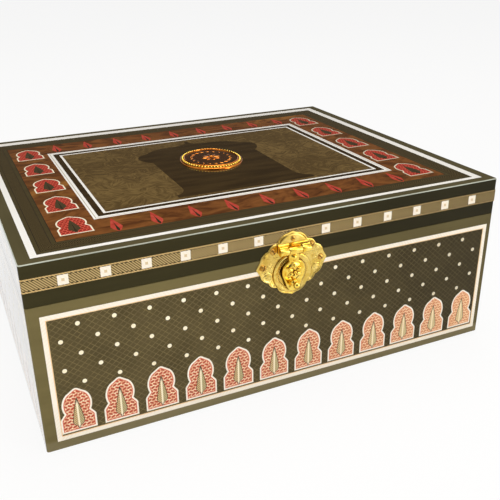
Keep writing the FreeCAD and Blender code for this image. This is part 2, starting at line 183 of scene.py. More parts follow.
# %% [markdown]
# ## Floor and surroundings
#
# The box stands on a plain white table. A floor lit only by lamps would be grey, so for the camera and
# for reflections most of its brightness is a steady white, and the rest still darkens in the box's
# shadow. The lacquered lid mirrors whatever is behind the box, and in the picture it stays dark, so the
# surroundings that reflections see are white at the table and dark higher up. A dark room behind the
# viewer gives the polished metal something to mirror besides white.

# %% Floor
FLOOR_HALF = 20.0
FLOOR_DROP = 0.0003
FLOOR_WHITE = 0.9
WHITE = (1, 1, 1, 1)

floor_mesh = bmesh.new()
bmesh.ops.create_grid(floor_mesh, x_segments=1, y_segments=1, size=FLOOR_HALF)
bmesh.ops.translate(floor_mesh, verts=floor_mesh.verts, vec=(0, 0, -FLOOR_DROP))
floor_data = bpy.data.meshes.new("floor")
floor_mesh.to_mesh(floor_data)
floor_mesh.free()
floor = bpy.data.objects.new("floor", floor_data)
bpy.context.scene.collection.objects.link(floor)


def seen_rays(tree):
    """1 for camera, glossy and transmission rays, 0 for the rays that only carry light."""
    path = add_node(tree, "ShaderNodeLightPath")
    mirrored = sums(tree, "MAXIMUM", path.outputs["Is Glossy Ray"], path.outputs["Is Transmission Ray"])
    return sums(tree, "MAXIMUM", path.outputs["Is Camera Ray"], mirrored)


table = bpy.data.materials.new("white_table")
table.use_nodes = True
table_tree = table.node_tree
table_tree.nodes.clear()
matt = add_node(table_tree, "ShaderNodeBsdfDiffuse", {"Color": paint(246, 245, 242)})
steady = add_node(table_tree, "ShaderNodeEmission", {"Color": WHITE, "Strength": 1.0})
share = sums(table_tree, "MULTIPLY", seen_rays(table_tree), FLOOR_WHITE)
table_mix = add_node(table_tree, "ShaderNodeMixShader",
                     {0: share, 1: matt.outputs[0], 2: steady.outputs[0]})
add_node(table_tree, "ShaderNodeOutputMaterial", {"Surface": table_mix.outputs[0]})
floor_data.materials.append(table)
print("floor laid", FLOOR_DROP / MM, "mm under the box")

# %% Surroundings
SKY_FILL = 0.15
SKY_MIRROR = (0.07, 0.0644, 0.056, 1)
SKY_WHITE_BELOW = math.sin(math.radians(3.0))
SKY_DARK_ABOVE = math.sin(math.radians(11.0))
SKY_DARK_BEHIND = (0.4, 0.62)
VIEWER_WAY = (-0.34, -0.86, 0.38)
ROOM_MIRROR = (0.12, 0.108, 0.09, 1)
ROOM_EDGE = (0.72, 0.93)

world = bpy.data.worlds.new("studio")
world.use_nodes = True
bpy.context.scene.world = world
sky = world.node_tree
sky.nodes.clear()
gaze = add_node(sky, "ShaderNodeTexCoord").outputs["Generated"]
backwards, rising = parts_of(sky, gaze)[1:]
dusk = sums(sky, "MULTIPLY", between(sky, rising, SKY_WHITE_BELOW, SKY_DARK_ABOVE),
            between(sky, backwards, *SKY_DARK_BEHIND))
to_viewer = add_node(sky, "ShaderNodeVectorMath", {0: gaze, 1: VIEWER_WAY}, operation="DOT_PRODUCT")
room = between(sky, to_viewer.outputs["Value"], *ROOM_EDGE)
mirrored_sky = mixed(sky, dusk, mixed(sky, room, WHITE, ROOM_MIRROR), SKY_MIRROR)
seen_directly = add_node(sky, "ShaderNodeLightPath").outputs["Is Camera Ray"]
backdrop_colour = mixed(sky, seen_directly, mirrored_sky, WHITE)
backdrop = add_node(sky, "ShaderNodeBackground", {"Color": backdrop_colour, "Strength": 1.0})
fill = add_node(sky, "ShaderNodeBackground", {"Color": (1.0, 0.97, 0.91, 1), "Strength": SKY_FILL})
sky_mix = add_node(sky, "ShaderNodeMixShader",
                   {0: seen_rays(sky), 1: fill.outputs[0], 2: backdrop.outputs[0]})
add_node(sky, "ShaderNodeOutputWorld", {"Surface": sky_mix.outputs[0]})
print("surroundings: fill", SKY_FILL, "and", len(sky.nodes), "nodes")

# %% [markdown]
# ## Lamps
#
# Small lamps give hard shadows and large ones soft shadows, so each lamp here is a panel. The key stands
# at the left and a low fill at the right, and together they light the front evenly. One panel hangs
# overhead, one fills from behind, and a tall strip draws a highlight on the metal. Polished lacquer
# would show the key as a white patch, so the key is kept out of reflections.

# %% Lamps
WARM_WHITE = (1.0, 0.98, 0.95)
LOW_WARM = (1.0, 0.97, 0.92)


def soft_box(name, place, aim, size, watts, colour=WARM_WHITE, mirrored=True):
    """A lamp of a width and a height that faces a point. Gloss can be kept from mirroring it."""
    data = bpy.data.lights.new(name, "AREA")
    data.shape = "RECTANGLE"
    data.size, data.size_y = size
    data.energy = watts
    data.color = colour
    lamp = bpy.data.objects.new(name, data)
    lamp.location = place
    lamp.rotation_euler = (Vector(aim) - Vector(place)).to_track_quat("-Z", "Y").to_euler()
    lamp.visible_glossy = mirrored
    bpy.context.scene.collection.objects.link(lamp)


soft_box("key", (-0.5, -0.62, 0.34), (-0.05, -0.1, 0.06), (0.32, 0.32), 2.6, mirrored=False)
soft_box("low_fill", (0.42, -0.5, 0.16), (0.08, -0.12, 0.03), (0.24, 0.16), 0.6, LOW_WARM)
soft_box("overhead", (0.05, 0.05, 1.4), (0, 0, 0.1), (1.0, 1.0), 12.0)
soft_box("back_fill", (0.8, 0.9, 1.7), (0, 0, 0.05), (0.7, 0.7), 5.0)
soft_box("strip", (0.46, -0.8, 0.62), (0, -0.12, 0.09), (0.12, 0.9), 1.1)
print("lamps:", len(bpy.data.lights))

# %% [markdown]
# ## Effects that several finishes share
#
# Polished lacquer is never evenly glossy: cloths leave soft smudges, and the film dries with a faint
# ripple. Diamond lines and slanted stripes also come back in several prints. Towards the box's right end
# the colours are painted darker, as painted shade, and the red ink and the leaves are painted paler, as
# painted light. Each effect is a node group, built once and placed in a material with its own values.

# %% Gloss group
gloss_group, takes, gives = start_group(
    "lacquer_gloss", ["Vector", "Roughness", "Smudge"], ["Roughness", "Ripple"])
wiped = cloud(gloss_group, takes["Vector"], 26.0, 3.0, 0.6, 0.8)
speckled = cloud(gloss_group, takes["Vector"], 420.0, 2.0)
smears = between(gloss_group, wiped, 0.35, 0.75)
uneven = sums(gloss_group, "MULTIPLY_ADD", speckled, 0.3, smears)
spread = sums(gloss_group, "MULTIPLY", uneven, takes["Smudge"])
gloss_group.links.new(sums(gloss_group, "ADD", takes["Roughness"], spread), gives["Roughness"])
gloss_group.links.new(cloud(gloss_group, takes["Vector"], 160.0, 1.0), gives["Ripple"])


def uneven_gloss(tree, shader, spots, roughness, smudge):
    """Gives a shader the shared gloss, and returns the film's ripple."""
    gloss = place_group(tree, gloss_group, Vector=spots, Roughness=roughness, Smudge=smudge)
    tree.links.new(gloss["Roughness"], shader.inputs["Roughness"])
    return gloss["Ripple"]


print("gloss group:", len(gloss_group.nodes), "nodes")

# %% Pattern groups
lattice_group, takes, gives = start_group(
    "diamond_lines", ["Vector", "Cell Width", "Cell Height", "Line"], ["Mask"])
along, up = parts_of(lattice_group, takes["Vector"])[:2]
across = sums(lattice_group, "DIVIDE", along, takes["Cell Width"])
rise = sums(lattice_group, "DIVIDE", up, takes["Cell Height"])
inner = sums(lattice_group, "SUBTRACT", 0.5, takes["Line"])
masks = []
for operation in ("ADD", "SUBTRACT"):
    slant = sums(lattice_group, "FRACT", sums(lattice_group, operation, across, rise))
    off_middle = sums(lattice_group, "ABSOLUTE", sums(lattice_group, "SUBTRACT", slant, 0.5))
    masks.append(between(lattice_group, off_middle, inner, 0.5))
lattice_group.links.new(sums(lattice_group, "MAXIMUM", *masks), gives["Mask"])

stripe_group, takes, gives = start_group("slanted_stripes", ["Vector", "Pitch", "Slope"], ["Mask"])
along, up = parts_of(stripe_group, takes["Vector"])[:2]
leaning = sums(stripe_group, "MULTIPLY_ADD", up, takes["Slope"], along)
slant = sums(stripe_group, "FRACT", sums(stripe_group, "DIVIDE", leaning, takes["Pitch"]))
off_middle = sums(stripe_group, "ABSOLUTE", sums(stripe_group, "SUBTRACT", slant, 0.5))
stripe_group.links.new(between(stripe_group, off_middle, 0.12, 0.38), gives["Mask"])
print("pattern groups:", lattice_group.name, "and", stripe_group.name)

# %% Painted falloff group
# Where the painted shade and painted light begin and end along the box.
FALLOFF_SPAN = (-0.05, 0.135)
falloff_paint_group, takes, gives = start_group("tone_drift", ["Vector", "Most"], ["Mask"])
rightwards = between(falloff_paint_group, parts_of(falloff_paint_group, takes["Vector"])[0], *FALLOFF_SPAN, "LINEAR")
falloff_paint_group.links.new(sums(falloff_paint_group, "MULTIPLY", rightwards, takes["Most"]), gives["Mask"])


def painted_falloff(tree, spots, tone_with_painted_light, most, towards=(0, 0, 0, 1)):
    """Turns a colour towards black as painted shade, or towards a paler colour as painted light, at the
    box's right end, by up to a share.
    """
    mask = place_group(tree, falloff_paint_group, Vector=spots, Most=most)["Mask"]
    return mixed(tree, mask, tone_with_painted_light, towards)


print("node groups:", [group.name for group in bpy.data.node_groups])

# %% [markdown]
# ## Lacquered wood
#
# Boards and rails are plain coloured wood under lacquer. The colour shifts slowly along the board, fine
# grain runs through it, and the gloss comes from the shared group. The boards' foot is painted paler, as
# painted light from the white table. The rails' top is painted lighter, as painted light, and a pale line
# along their rounded upper edge is a painted highlight, broken into patches. One function makes every
# lacquered finish and gives back a setter for its colour, so that a print can take over.

# %% Lacquer
LACQUER_SPECULAR = 0.04
FILM_IOR = 1.12
FILM_ROUGHNESS = 0.03
RIPPLE = 0.02
RIPPLE_DEEP = 0.0005


def lacquer(key, name, roughness=0.05, smudge=0.05):
    """A glossy lacquer. Gives its tree, its object coordinates and a function that sets its colour."""
    tree, shader, spots = finish_start(key, name)
    shader.inputs["Specular IOR Level"].default_value = LACQUER_SPECULAR
    shader.inputs["Coat Weight"].default_value = 1.0
    shader.inputs["Coat IOR"].default_value = FILM_IOR
    shader.inputs["Coat Roughness"].default_value = FILM_ROUGHNESS
    bumpy(tree, shader, RIPPLE, RIPPLE_DEEP, uneven_gloss(tree, shader, spots, roughness, smudge))

    def colour(socket):
        tree.links.new(socket, shader.inputs["Base Color"])

    return tree, spots, colour


print("lacquer film:", FILM_IOR, "index,", FILM_ROUGHNESS, "roughness")

# %% Boards and rails
TONES = (0.3, 0.7)
ALONG_X = (0.06, 1.0, 1.0)
ALONG_Y = (1.0, 0.06, 1.0)
OLIVE = (paint(105, 95, 60), paint(118, 107, 69))
# Painted light: a paler olive for the boards' foot, lit by the white table.
OLIVE_LIT_FOOT = (paint(117, 108, 77), paint(129, 119, 87))
DARK = (paint(48, 44, 22), paint(57, 52, 28))
# Painted light: a lighter copy of the rails' dark, for their top face.
DARK_LIT_TOP = (paint(81, 74, 49), paint(93, 85, 58))
# Painted highlight: the pale colour along the rails' rounded upper edge.
EDGE_HIGHLIGHT_PAINT = paint(206, 212, 198)
# Painted light: the heights over which the boards' foot turns paler.
LIT_FOOT_SPAN = (0.0075, 0.0045)
TOP_EDGE = (-0.0007, -0.0002)


def plain_lacquer(key, name, tones, grain, painted_dark_share=0.0, top=None, lit_foot=None):
    """Two tones with slow shifts and grain along the board; a foot painted paler and a top painted lighter,
    as painted light, with a painted highlight on the top's edge; painted shade at the right end.
    """
    tree, spots, colour = lacquer(key, name)
    stretched = add_node(tree, "ShaderNodeMapping", {"Vector": spots, "Scale": grain}).outputs[0]
    streaks = cloud(tree, stretched, 90.0, 5.0, 0.6)
    slow = cloud(tree, spots, 14.0, 2.0)
    tone = sums(tree, "ADD", sums(tree, "MULTIPLY", streaks, 0.55), sums(tree, "MULTIPLY", slow, 0.45))
    light = between(tree, tone, *TONES)
    height = parts_of(tree, spots)[2]
    # Painted shade: the colour darkens towards the box's right end.
    tone_with_painted_light = painted_falloff(tree, spots, mixed(tree, light, *tones), painted_dark_share)
    # Painted light: the boards' foot is painted paler, as if lit by the white table.
    if lit_foot:
        painted_foot_light = between(tree, height, *LIT_FOOT_SPAN)
        tone_with_painted_light = mixed(tree, painted_foot_light, tone_with_painted_light, mixed(tree, light, *lit_foot))
    # Painted light: the rails' top is painted lighter than their front.
    if top:
        over_edge = sums(tree, "SUBTRACT", height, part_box("lid_front_rail")[1].z)
        tone_with_painted_light = mixed(tree, between(tree, over_edge, *TOP_EDGE), tone_with_painted_light, mixed(tree, light, *top))
        # Painted highlight: a pale line on the rounded upper edge, broken into patches.
        tilt = parts_of(tree, add_node(tree, "ShaderNodeTexCoord").outputs["Normal"])[2]
        arris = sums(tree, "MULTIPLY", between(tree, tilt, 0.15, 0.4), between(tree, tilt, 0.97, 0.85))
        patchy = between(tree, cloud(tree, stretched, 130.0, 3.0), 0.36, 0.58)
        painted_edge_highlight = sums(tree, "MULTIPLY", arris, sums(tree, "MULTIPLY_ADD", patchy, 0.4, 0.6))
        tone_with_painted_light = mixed(tree, painted_edge_highlight, tone_with_painted_light, EDGE_HIGHLIGHT_PAINT)
    colour(tone_with_painted_light)


# Each call gives its share of painted shade at the right end; the paler foot and lighter top are painted
# light.
for axis, grain in (("x", ALONG_X), ("y", ALONG_Y)):
    plain_lacquer("olive_" + axis, "olive_board_" + axis, OLIVE, grain, 0.3, lit_foot=OLIVE_LIT_FOOT)
    plain_lacquer("dark_" + axis, "dark_rail_" + axis, DARK, grain, 0.42, top=DARK_LIT_TOP)
print("lacquers:", sorted(finishes))

# %% [markdown]
# ## Prints
#
# The ornament is printed in flat colours. Its shapes are real geometry, and each shape's fill has the
# small pattern that is seen close up: the diamond trellis, the basket of red dashes, the feathered leaf.
# These patterns follow the print's own map, which counts millimetres along and across each shape.

# %% Line and ink finishes
def own_map(tree):
    """The print's own map."""
    return add_node(tree, "ShaderNodeUVMap", uv_map="print").outputs["UV"]


def print_cream(key, name, high, low, pitch, painted_dark_share=0.0):
    """Pale line with a faint slanted rope pattern."""
    tree, spots, colour = lacquer(key, name)
    rope = place_group(tree, stripe_group, Vector=own_map(tree), Pitch=pitch, Slope=0.8)["Mask"]
    soft = sums(tree, "MULTIPLY", rope, between(tree, cloud(tree, spots, 60.0), *TONES))
    # Painted shade where a share is given: darker towards the box's right end.
    colour(painted_falloff(tree, spots, mixed(tree, soft, high, low), painted_dark_share))


def speckled_ink(key, name, scale, low, high):
    """One ink whose tone changes from speck to speck."""
    tree, spots, colour = lacquer(key, name)
    colour(mixed(tree, cloud(tree, spots, scale), low, high))


print_cream("cream", "cream_line", paint(249, 241, 228), paint(243, 233, 217), 2.2)
print_cream("white", "white_line", paint(253, 251, 247), paint(249, 245, 238), 2.2)
# The dot's last number is its share of painted shade at the right end.
print_cream("dot", "cream_dot", paint(253, 245, 220), paint(246, 233, 200), 5.0, 0.22)
print_cream("heart", "square_heart", paint(226, 206, 170), paint(206, 182, 140), 0.9)
speckled_ink("orange", "orange_line", 200.0, paint(236, 196, 142), paint(248, 216, 168))
speckled_ink("dark_print", "dark_print", 220.0, paint(46, 38, 25), paint(66, 56, 38))
speckled_ink("deep_leaf", "deep_leaf", 220.0, paint(64, 54, 34), paint(84, 71, 47))
speckled_ink("grey", "grey_line", 200.0, paint(186, 178, 160), paint(214, 206, 190))
print("finishes with lines and inks:", len(finishes))

# %% Trellis
TRELLIS_CELL = (4.2, 3.66)
tree, spots, colour = lacquer("trellis", "trellis_print", 0.06, 0.06)
lines = place_group(tree, lattice_group, Vector=own_map(tree), Cell_Width=TRELLIS_CELL[0],
                    Cell_Height=TRELLIS_CELL[1], Line=0.13)["Mask"]
broken = sums(tree, "MULTIPLY", lines, between(tree, cloud(tree, spots, 240.0, 3.0), 0.1, 0.75))
patches = between(tree, cloud(tree, spots, 40.0), *TONES)
thin_ink = mixed(tree, patches, paint(79, 69, 44), paint(91, 80, 52))
# Painted shade: the trellis darkens towards the box's right end.
colour(painted_falloff(tree, spots, mixed(tree, broken, thin_ink, paint(124, 110, 72)), 0.52))
print("trellis cell:", TRELLIS_CELL, "mm")

# %% Basket
DASH_PITCH = 2.6
DASH_ROW = 2.05
LID_DASH_PITCH = 2.3
LID_DASH_ROW = 2.7
DASH_TILT = 0.5
# Painted light: the paler red that the basket and ring turn to at the box's right end.
PAINTED_PALE_RED = paint(250, 204, 150)


def basket_print(key, name, ground, wisp, dash, pitch, row, painted_pale_share=0.0):
    """Rows of short dashes that lean left and right in turn, as in a basket, with wisps between rows."""
    tree, spots, colour = lacquer(key, name)
    along, up = parts_of(tree, own_map(tree))[:2]
    step = sums(tree, "DIVIDE", up, row)
    odd = sums(tree, "MODULO", sums(tree, "ABSOLUTE", sums(tree, "FLOOR", step)), 2.0)
    lean = sums(tree, "MULTIPLY_ADD", odd, -2.0, 1.0)
    height = sums(tree, "SUBTRACT", sums(tree, "FRACT", step), 0.5)
    slid = sums(tree, "ADD", sums(tree, "DIVIDE", along, pitch), sums(tree, "MULTIPLY", odd, 0.5))
    place = sums(tree, "SUBTRACT", sums(tree, "FRACT", slid), 0.5)
    tilted = sums(tree, "MULTIPLY_ADD", sums(tree, "MULTIPLY", place, lean), DASH_TILT, height)
    off_row = sums(tree, "ABSOLUTE", tilted)
    long_way = between(tree, sums(tree, "ABSOLUTE", place), 0.44, 0.3)
    dashes = sums(tree, "MULTIPLY", long_way, between(tree, off_row, 0.4, 0.26))
    patchy = mixed(tree, cloud(tree, spots, 300.0), *dash)
    wisps = sums(tree, "MULTIPLY", between(tree, off_row, 0.3, 0.46),
                 between(tree, cloud(tree, spots, 420.0, 2.0), 0.4, 0.56))
    fill = mixed(tree, dashes, mixed(tree, wisps, ground, wisp), patchy)
    # Painted light where a share is given: the print turns paler towards the box's right end.
    colour(painted_falloff(tree, spots, fill, painted_pale_share, PAINTED_PALE_RED))


# The last number is the basket's share of painted light at the right end.
basket_print("basket", "basket_red", paint(228, 168, 132), paint(255, 240, 208),
             (paint(174, 70, 52), paint(198, 96, 72)), DASH_PITCH, DASH_ROW, 0.42)
basket_print("lid_basket", "basket_deep_red", paint(208, 84, 66), paint(216, 98, 78),
             (paint(132, 34, 26), paint(150, 44, 34)), LID_DASH_PITCH, LID_DASH_ROW)
print("basket rows:", DASH_ROW, "and", LID_DASH_ROW, "mm")

# %% Leaf and ring
# Painted light: the paler colour that the leaf turns to at the box's right end.
PAINTED_PALE_LEAF = paint(250, 226, 176)
LEAF_TIP = (17.0, 21.0)
tree, spots, colour = lacquer("leaf", "feathered_leaf")
along, up = parts_of(tree, own_map(tree))[:2]
side = sums(tree, "ABSOLUTE", along)
feather_way = add_node(tree, "ShaderNodeCombineXYZ", {0: up, 1: side}).outputs[0]
feathers = place_group(tree, stripe_group, Vector=feather_way, Pitch=1.5, Slope=-1.3)["Mask"]
warm_vane = mixed(tree, feathers, paint(216, 190, 142), paint(158, 132, 90))
olive_vane = mixed(tree, feathers, paint(208, 192, 146), paint(144, 130, 92))
vanes = mixed(tree, between(tree, along, -0.1, 0.1), warm_vane, olive_vane)
ribbed = mixed(tree, between(tree, side, 0.2, 0.8), paint(250, 240, 212), vanes)
feathered = mixed(tree, between(tree, up, *LEAF_TIP), ribbed, paint(104, 86, 60))
# Painted light: the leaf turns paler towards the box's right end.
colour(painted_falloff(tree, spots, feathered, 0.48, PAINTED_PALE_LEAF))

tree, spots, colour = lacquer("salmon", "salmon_ring")
ring_red = mixed(tree, cloud(tree, spots, 260.0), paint(204, 100, 78), paint(222, 124, 98))
# Painted light: the ring turns paler towards the box's right end.
colour(painted_falloff(tree, spots, ring_red, 0.5, PAINTED_PALE_RED))
print("leaf and ring: tip from", LEAF_TIP[0], "mm up")

# %% Tan band
BAND_TALL = 7.7
EDGE_LINE = 0.7
DASH_LINE = 0.7
LINE_BLUR = 0.1
HATCH_PITCH = 1.6
TICK_PITCH = 2.4
tree, spots, colour = lacquer("tan", "tan_band")
band_map = own_map(tree)
hatch = place_group(tree, stripe_group, Vector=band_map, Pitch=HATCH_PITCH, Slope=1.0)["Mask"]
weave = mixed(tree, hatch, paint(190, 167, 116), paint(100, 82, 48))
up = parts_of(tree, band_map)[1]
from_middle = sums(tree, "ABSOLUTE", sums(tree, "SUBTRACT", up, BAND_TALL / 2))
edge_at = BAND_TALL / 2 - EDGE_LINE
edge = between(tree, from_middle, edge_at - LINE_BLUR, edge_at + LINE_BLUR)
dash_at = edge_at - DASH_LINE
dash_zone = between(tree, from_middle, dash_at - LINE_BLUR, dash_at + LINE_BLUR)
ticks = place_group(tree, stripe_group, Vector=band_map, Pitch=TICK_PITCH, Slope=0.0)["Mask"]
stitched = mixed(tree, sums(tree, "MULTIPLY", dash_zone, ticks), weave, paint(44, 33, 16))
rim_tone = mixed(tree, hatch, paint(214, 184, 126), paint(190, 158, 104))
# Painted shade: the band darkens towards the box's right end.
colour(painted_falloff(tree, spots, mixed(tree, edge, stitched, rim_tone), 0.34))
print("prints:", len(finishes))

# %% [markdown]
# ## The lid's veneers
#
# The lid has a border of burl, which swirls because it is cut from a knotted growth, dark strips with a
# woven look, and a bronze coloured centre whose short strokes lie this way and that under the gloss.
# Distorted noise gives the swirl, and noise stretched along one direction gives the strokes.

# %% Lid border finishes
tree, spots, colour = lacquer("burl", "burl_veneer")
bend = add_node(tree, "ShaderNodeMapping", {"Vector": spots, "Scale": (0.55, 1.0, 1.0)}).outputs[0]
swirl = cloud(tree, bend, 55.0, 6.0, 0.62, 2.2)
fleck = cloud(tree, bend, 26.0, 4.0, 0.6, 1.2)
figure = mixed(tree, between(tree, swirl, 0.32, 0.66), paint(84, 47, 20), paint(132, 82, 40))
colour(mixed(tree, between(tree, fleck, 0.56, 0.74), figure, paint(160, 107, 48)))

FOLD = 3.4
tree, spots, colour = lacquer("woven", "woven_strip")
along, up = parts_of(tree, own_map(tree))[:2]
folded = add_node(tree, "ShaderNodeCombineXYZ", {0: along, 1: sums(tree, "PINGPONG", up, FOLD)}).outputs[0]
chevron = place_group(tree, stripe_group, Vector=folded, Pitch=1.5, Slope=1.0)["Mask"]
colour(mixed(tree, chevron, paint(48, 39, 22), paint(89, 76, 48)))

plain_lacquer("lid_dark", "lid_dark_strip", (paint(68, 58, 35), paint(78, 69, 43)), ALONG_X)

tree, spots, colour = lacquer("red", "red_leaf")
specks = between(tree, cloud(tree, spots, 330.0), *TONES)
colour(mixed(tree, specks, paint(176, 58, 46), paint(200, 82, 66)))
print("border finishes made:", len(finishes), "finishes in all")

# %% Lid centre finishes
TUFT_SCALE = 130.0
tree, spots, colour = lacquer("bronze", "bronze_panel", 0.05, 0.06)
tufts = add_node(tree, "ShaderNodeTexVoronoi", {"Vector": spots, "Scale": TUFT_SCALE}, feature="F1")
way = sums(tree, "MULTIPLY", parts_of(tree, tufts.outputs["Color"])[0], math.pi)
combed = add_node(tree, "ShaderNodeVectorRotate", {"Vector": spots, "Angle": way}, rotation_type="Z_AXIS")
drawn = add_node(tree, "ShaderNodeMapping", {"Vector": combed.outputs[0], "Scale": (1, 0.14, 1)})
strokes = cloud(tree, drawn.outputs[0], 640.0, 3.0, 0.55)
patch = cloud(tree, spots, 24.0, 3.0)
tone = sums(tree, "ADD", sums(tree, "MULTIPLY", strokes, 0.6), sums(tree, "MULTIPLY", patch, 0.4))
colour(mixed(tree, between(tree, tone, 0.42, 0.66), paint(86, 67, 36), paint(122, 99, 58)))

tree, spots, colour = lacquer("niche", "niche_print", 0.05, 0.06)
level = add_node(tree, "ShaderNodeMapping", {"Vector": spots, "Scale": (0.2, 1, 1)}).outputs[0]
shade = between(tree, cloud(tree, level, 150.0, 5.0), *TONES)
colour(mixed(tree, shade, paint(50, 36, 15), paint(66, 50, 25)))
print("lid finishes made:", len(finishes), "finishes in all")

# %% [markdown]
# ## Flat drawing
#
# Every print is drawn flat, in millimetres, and then laid on its side of the box. A shape is a face in
# the XY plane. Its outline uses only the corners it needs, with arcs for the round stretches. The side's
# matrix turns the drawing so that its X runs along the side, its Y runs up, and its Z points outwards.

# %% Drawing helpers
def arc(start, through, end, steps):
    """Points on the circle through three points, from start up to but not including end."""
    a, b, c = Vector(start), Vector(through), Vector(end)
    d = 2 * (a.x * (b.y - c.y) + b.x * (c.y - a.y) + c.x * (a.y - b.y))
    a2, b2, c2 = a.length_squared, b.length_squared, c.length_squared
    middle = Vector(((a2 * (b.y - c.y) + b2 * (c.y - a.y) + c2 * (a.y - b.y)) / d,
                     (a2 * (c.x - b.x) + b2 * (a.x - c.x) + c2 * (b.x - a.x)) / d))
    radius = (a - middle).length
    first = math.atan2(a.y - middle.y, a.x - middle.x)
    sweep = math.atan2(c.y - middle.y, c.x - middle.x) - first
    turn_back = d > 0
    sweep = sweep % math.tau if turn_back else -((-sweep) % math.tau)
    return [(middle.x + radius * math.cos(first + sweep * i / steps),
             middle.y + radius * math.sin(first + sweep * i / steps)) for i in range(steps)]


def both_halves(right):
    """A closed outline from its right half, which runs from the top to the bottom."""
    left = [(-x, y) for x, y in reversed(right) if x > 1e-6]
    return right + left


print("outline helpers ready, for example", len(arc((1, 0), (0, 1), (-1, 0), 6)), "points on half a round")


# %% Drawing class
class Drawing:
    """Flat shapes in millimetres that become one piece."""

    def __init__(self, finishes_used):
        self.mesh = bmesh.new()
        self.map = self.mesh.loops.layers.uv.new("print")
        self.used = finishes_used

    def shape(self, outline, at=(0, 0), finish=None, rims=()):
        """A face with rings of other finishes round its edge: rims is a list of (width, finish)."""
        index = self.used.index(finish)
        corners = [self.mesh.verts.new((x + at[0], y + at[1], 0)) for x, y in outline]
        face = self.mesh.faces.new(corners)
        face.normal_update()
        if face.normal.z < 0:
            face.normal_flip()
        for width, rim in rims:
            made = bmesh.ops.inset_region(self.mesh, faces=[face], thickness=width, use_boundary=True,
                                          use_even_offset=True)
            for ring in made["faces"]:
                ring.material_index = self.used.index(rim)
                self.set_map(ring, at)
        face.material_index = index
        self.set_map(face, at)

    def set_map(self, face, at):
        for loop in face.loops:
            loop[self.map].uv = (loop.vert.co.x - at[0], loop.vert.co.y - at[1])

    def frames(self, sizes, used, at=(0, 0)):
        """Nested rectangles, as half width, half height and slide, with finishes between and inside.

        With one finish fewer than rectangles, the innermost one stays open."""
        loops = []
        for half_x, half_y, slide_x, slide_y in sizes:
            made = bmesh.ops.create_grid(self.mesh, x_segments=1, y_segments=1, size=1.0)["verts"]
            bmesh.ops.scale(self.mesh, verts=made, vec=(half_x, half_y, 1))
            bmesh.ops.translate(self.mesh, verts=made, vec=(at[0] + slide_x, at[1] + slide_y, 0))
            loops.append(made[0].link_faces[0])
        for outer, hole, finish in zip(loops, loops[1:], used):
            edges = list(outer.edges) + list(hole.edges)
            self.mesh.faces.remove(outer)
            ring = bmesh.ops.bridge_loops(self.mesh, edges=edges)["faces"]
            for face in ring:
                face.material_index = self.used.index(finish)
                self.map_along(face, at)
        if len(used) < len(sizes):
            bmesh.ops.delete(self.mesh, geom=[loops[-1]], context="FACES_ONLY")
        else:
            loops[-1].material_index = self.used.index(used[-1])
            self.set_map(loops[-1], at)

    def map_along(self, face, at):
        """The print runs along a frame's side: first along it, then out from the middle."""
        longest = max(face.edges, key=lambda edge: edge.calc_length())
        first, last = (vert.co for vert in longest.verts)
        runs_x = abs(first.x - last.x) > abs(first.y - last.y)
        for loop in face.loops:
            x, y = loop.vert.co.x - at[0], loop.vert.co.y - at[1]
            loop[self.map].uv = (x, abs(y)) if runs_x else (y, abs(x))

    def piece(self, name, side, low, high, body, replaces=()):
        """Gives the drawing its thickness, lays it on its side and makes it ride on a body."""
        faces = self.mesh.faces[:]
        grown = bmesh.ops.extrude_face_region(self.mesh, geom=faces, use_keep_orig=True)["geom"]
        tops = [item for item in grown if isinstance(item, bmesh.types.BMVert)]
        bmesh.ops.translate(self.mesh, verts=self.mesh.verts, vec=(0, 0, low))
        bmesh.ops.translate(self.mesh, verts=tops, vec=(0, 0, high - low))
        bmesh.ops.recalc_face_normals(self.mesh, faces=self.mesh.faces[:])
        bmesh.ops.transform(self.mesh, matrix=side @ Matrix.Scale(MM, 4), verts=self.mesh.verts)
        return settle(self.mesh, name, self.used, body, replaces)


print("drawing class ready")


# %% Laying pieces on the box
def settle(mesh, name, used, body, replaces=()):
    """Turns a bmesh into an object that rides on a body."""
    data = bpy.data.meshes.new(name)
    mesh.to_mesh(data)
    mesh.free()
    for finish in used:
        data.materials.append(finishes[finish])
    made = bpy.data.objects.new(name, data)
    bpy.context.scene.collection.objects.link(made)
    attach(made, body)
    if replaces:
        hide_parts(*replaces)
    return made


def side_of_box(along, up, place):
    """The matrix that lays a drawing on a side whose drawing X and Y run along these directions."""
    out = Vector(along).cross(Vector(up))
    columns = (Vector(along), Vector(up), out, Vector(place))
    return Matrix([[column[row] for column in columns] for row in range(3)] + [[0, 0, 0, 1]])


front_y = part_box("base_front_board")[0].y
back_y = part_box("base_back_board")[1].y
left_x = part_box("base_left_board")[0].x
right_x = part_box("base_right_board")[1].x
lid_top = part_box("lid_top_sheet")[1].z
UP = (0, 0, 1)
sides = {
    "front": side_of_box((1, 0, 0), UP, (0, front_y, 0)),
    "back": side_of_box((-1, 0, 0), UP, (0, back_y, 0)),
    "left": side_of_box((0, -1, 0), UP, (left_x, 0, 0)),
    "right": side_of_box((0, 1, 0), UP, (right_x, 0, 0)),
    "top": side_of_box((1, 0, 0), (0, 1, 0), (0, 0, lid_top)),
}
print("sides:", {name: [round(c, 4) for c in side.translation] for name, side in sides.items()})

# %% [markdown]
# ## The printed panels of the base
#
# Each side of the base has a sheet let into its boards: the trellis field, and a margin in the boards'
# colour. Nested rectangles make both in one closed slab, as thick as the CAD sheet that it stands for.
# The cream frame line with a thin orange line inside it is printed over the seam between the two. On
# the front the print was laid by hand: it sits a little to the right and runs slightly downhill.

# %% Base panels
FRAME_LINE = 2.55
INNER_LINE = 0.5
FRAME_INSET = 0.3
FRONT_FRAME_SLIDE = (1.3, -0.1)
FRONT_SKEW = -0.0038
PRINT_RISE = 0.04
PRINT_SINK = -0.02


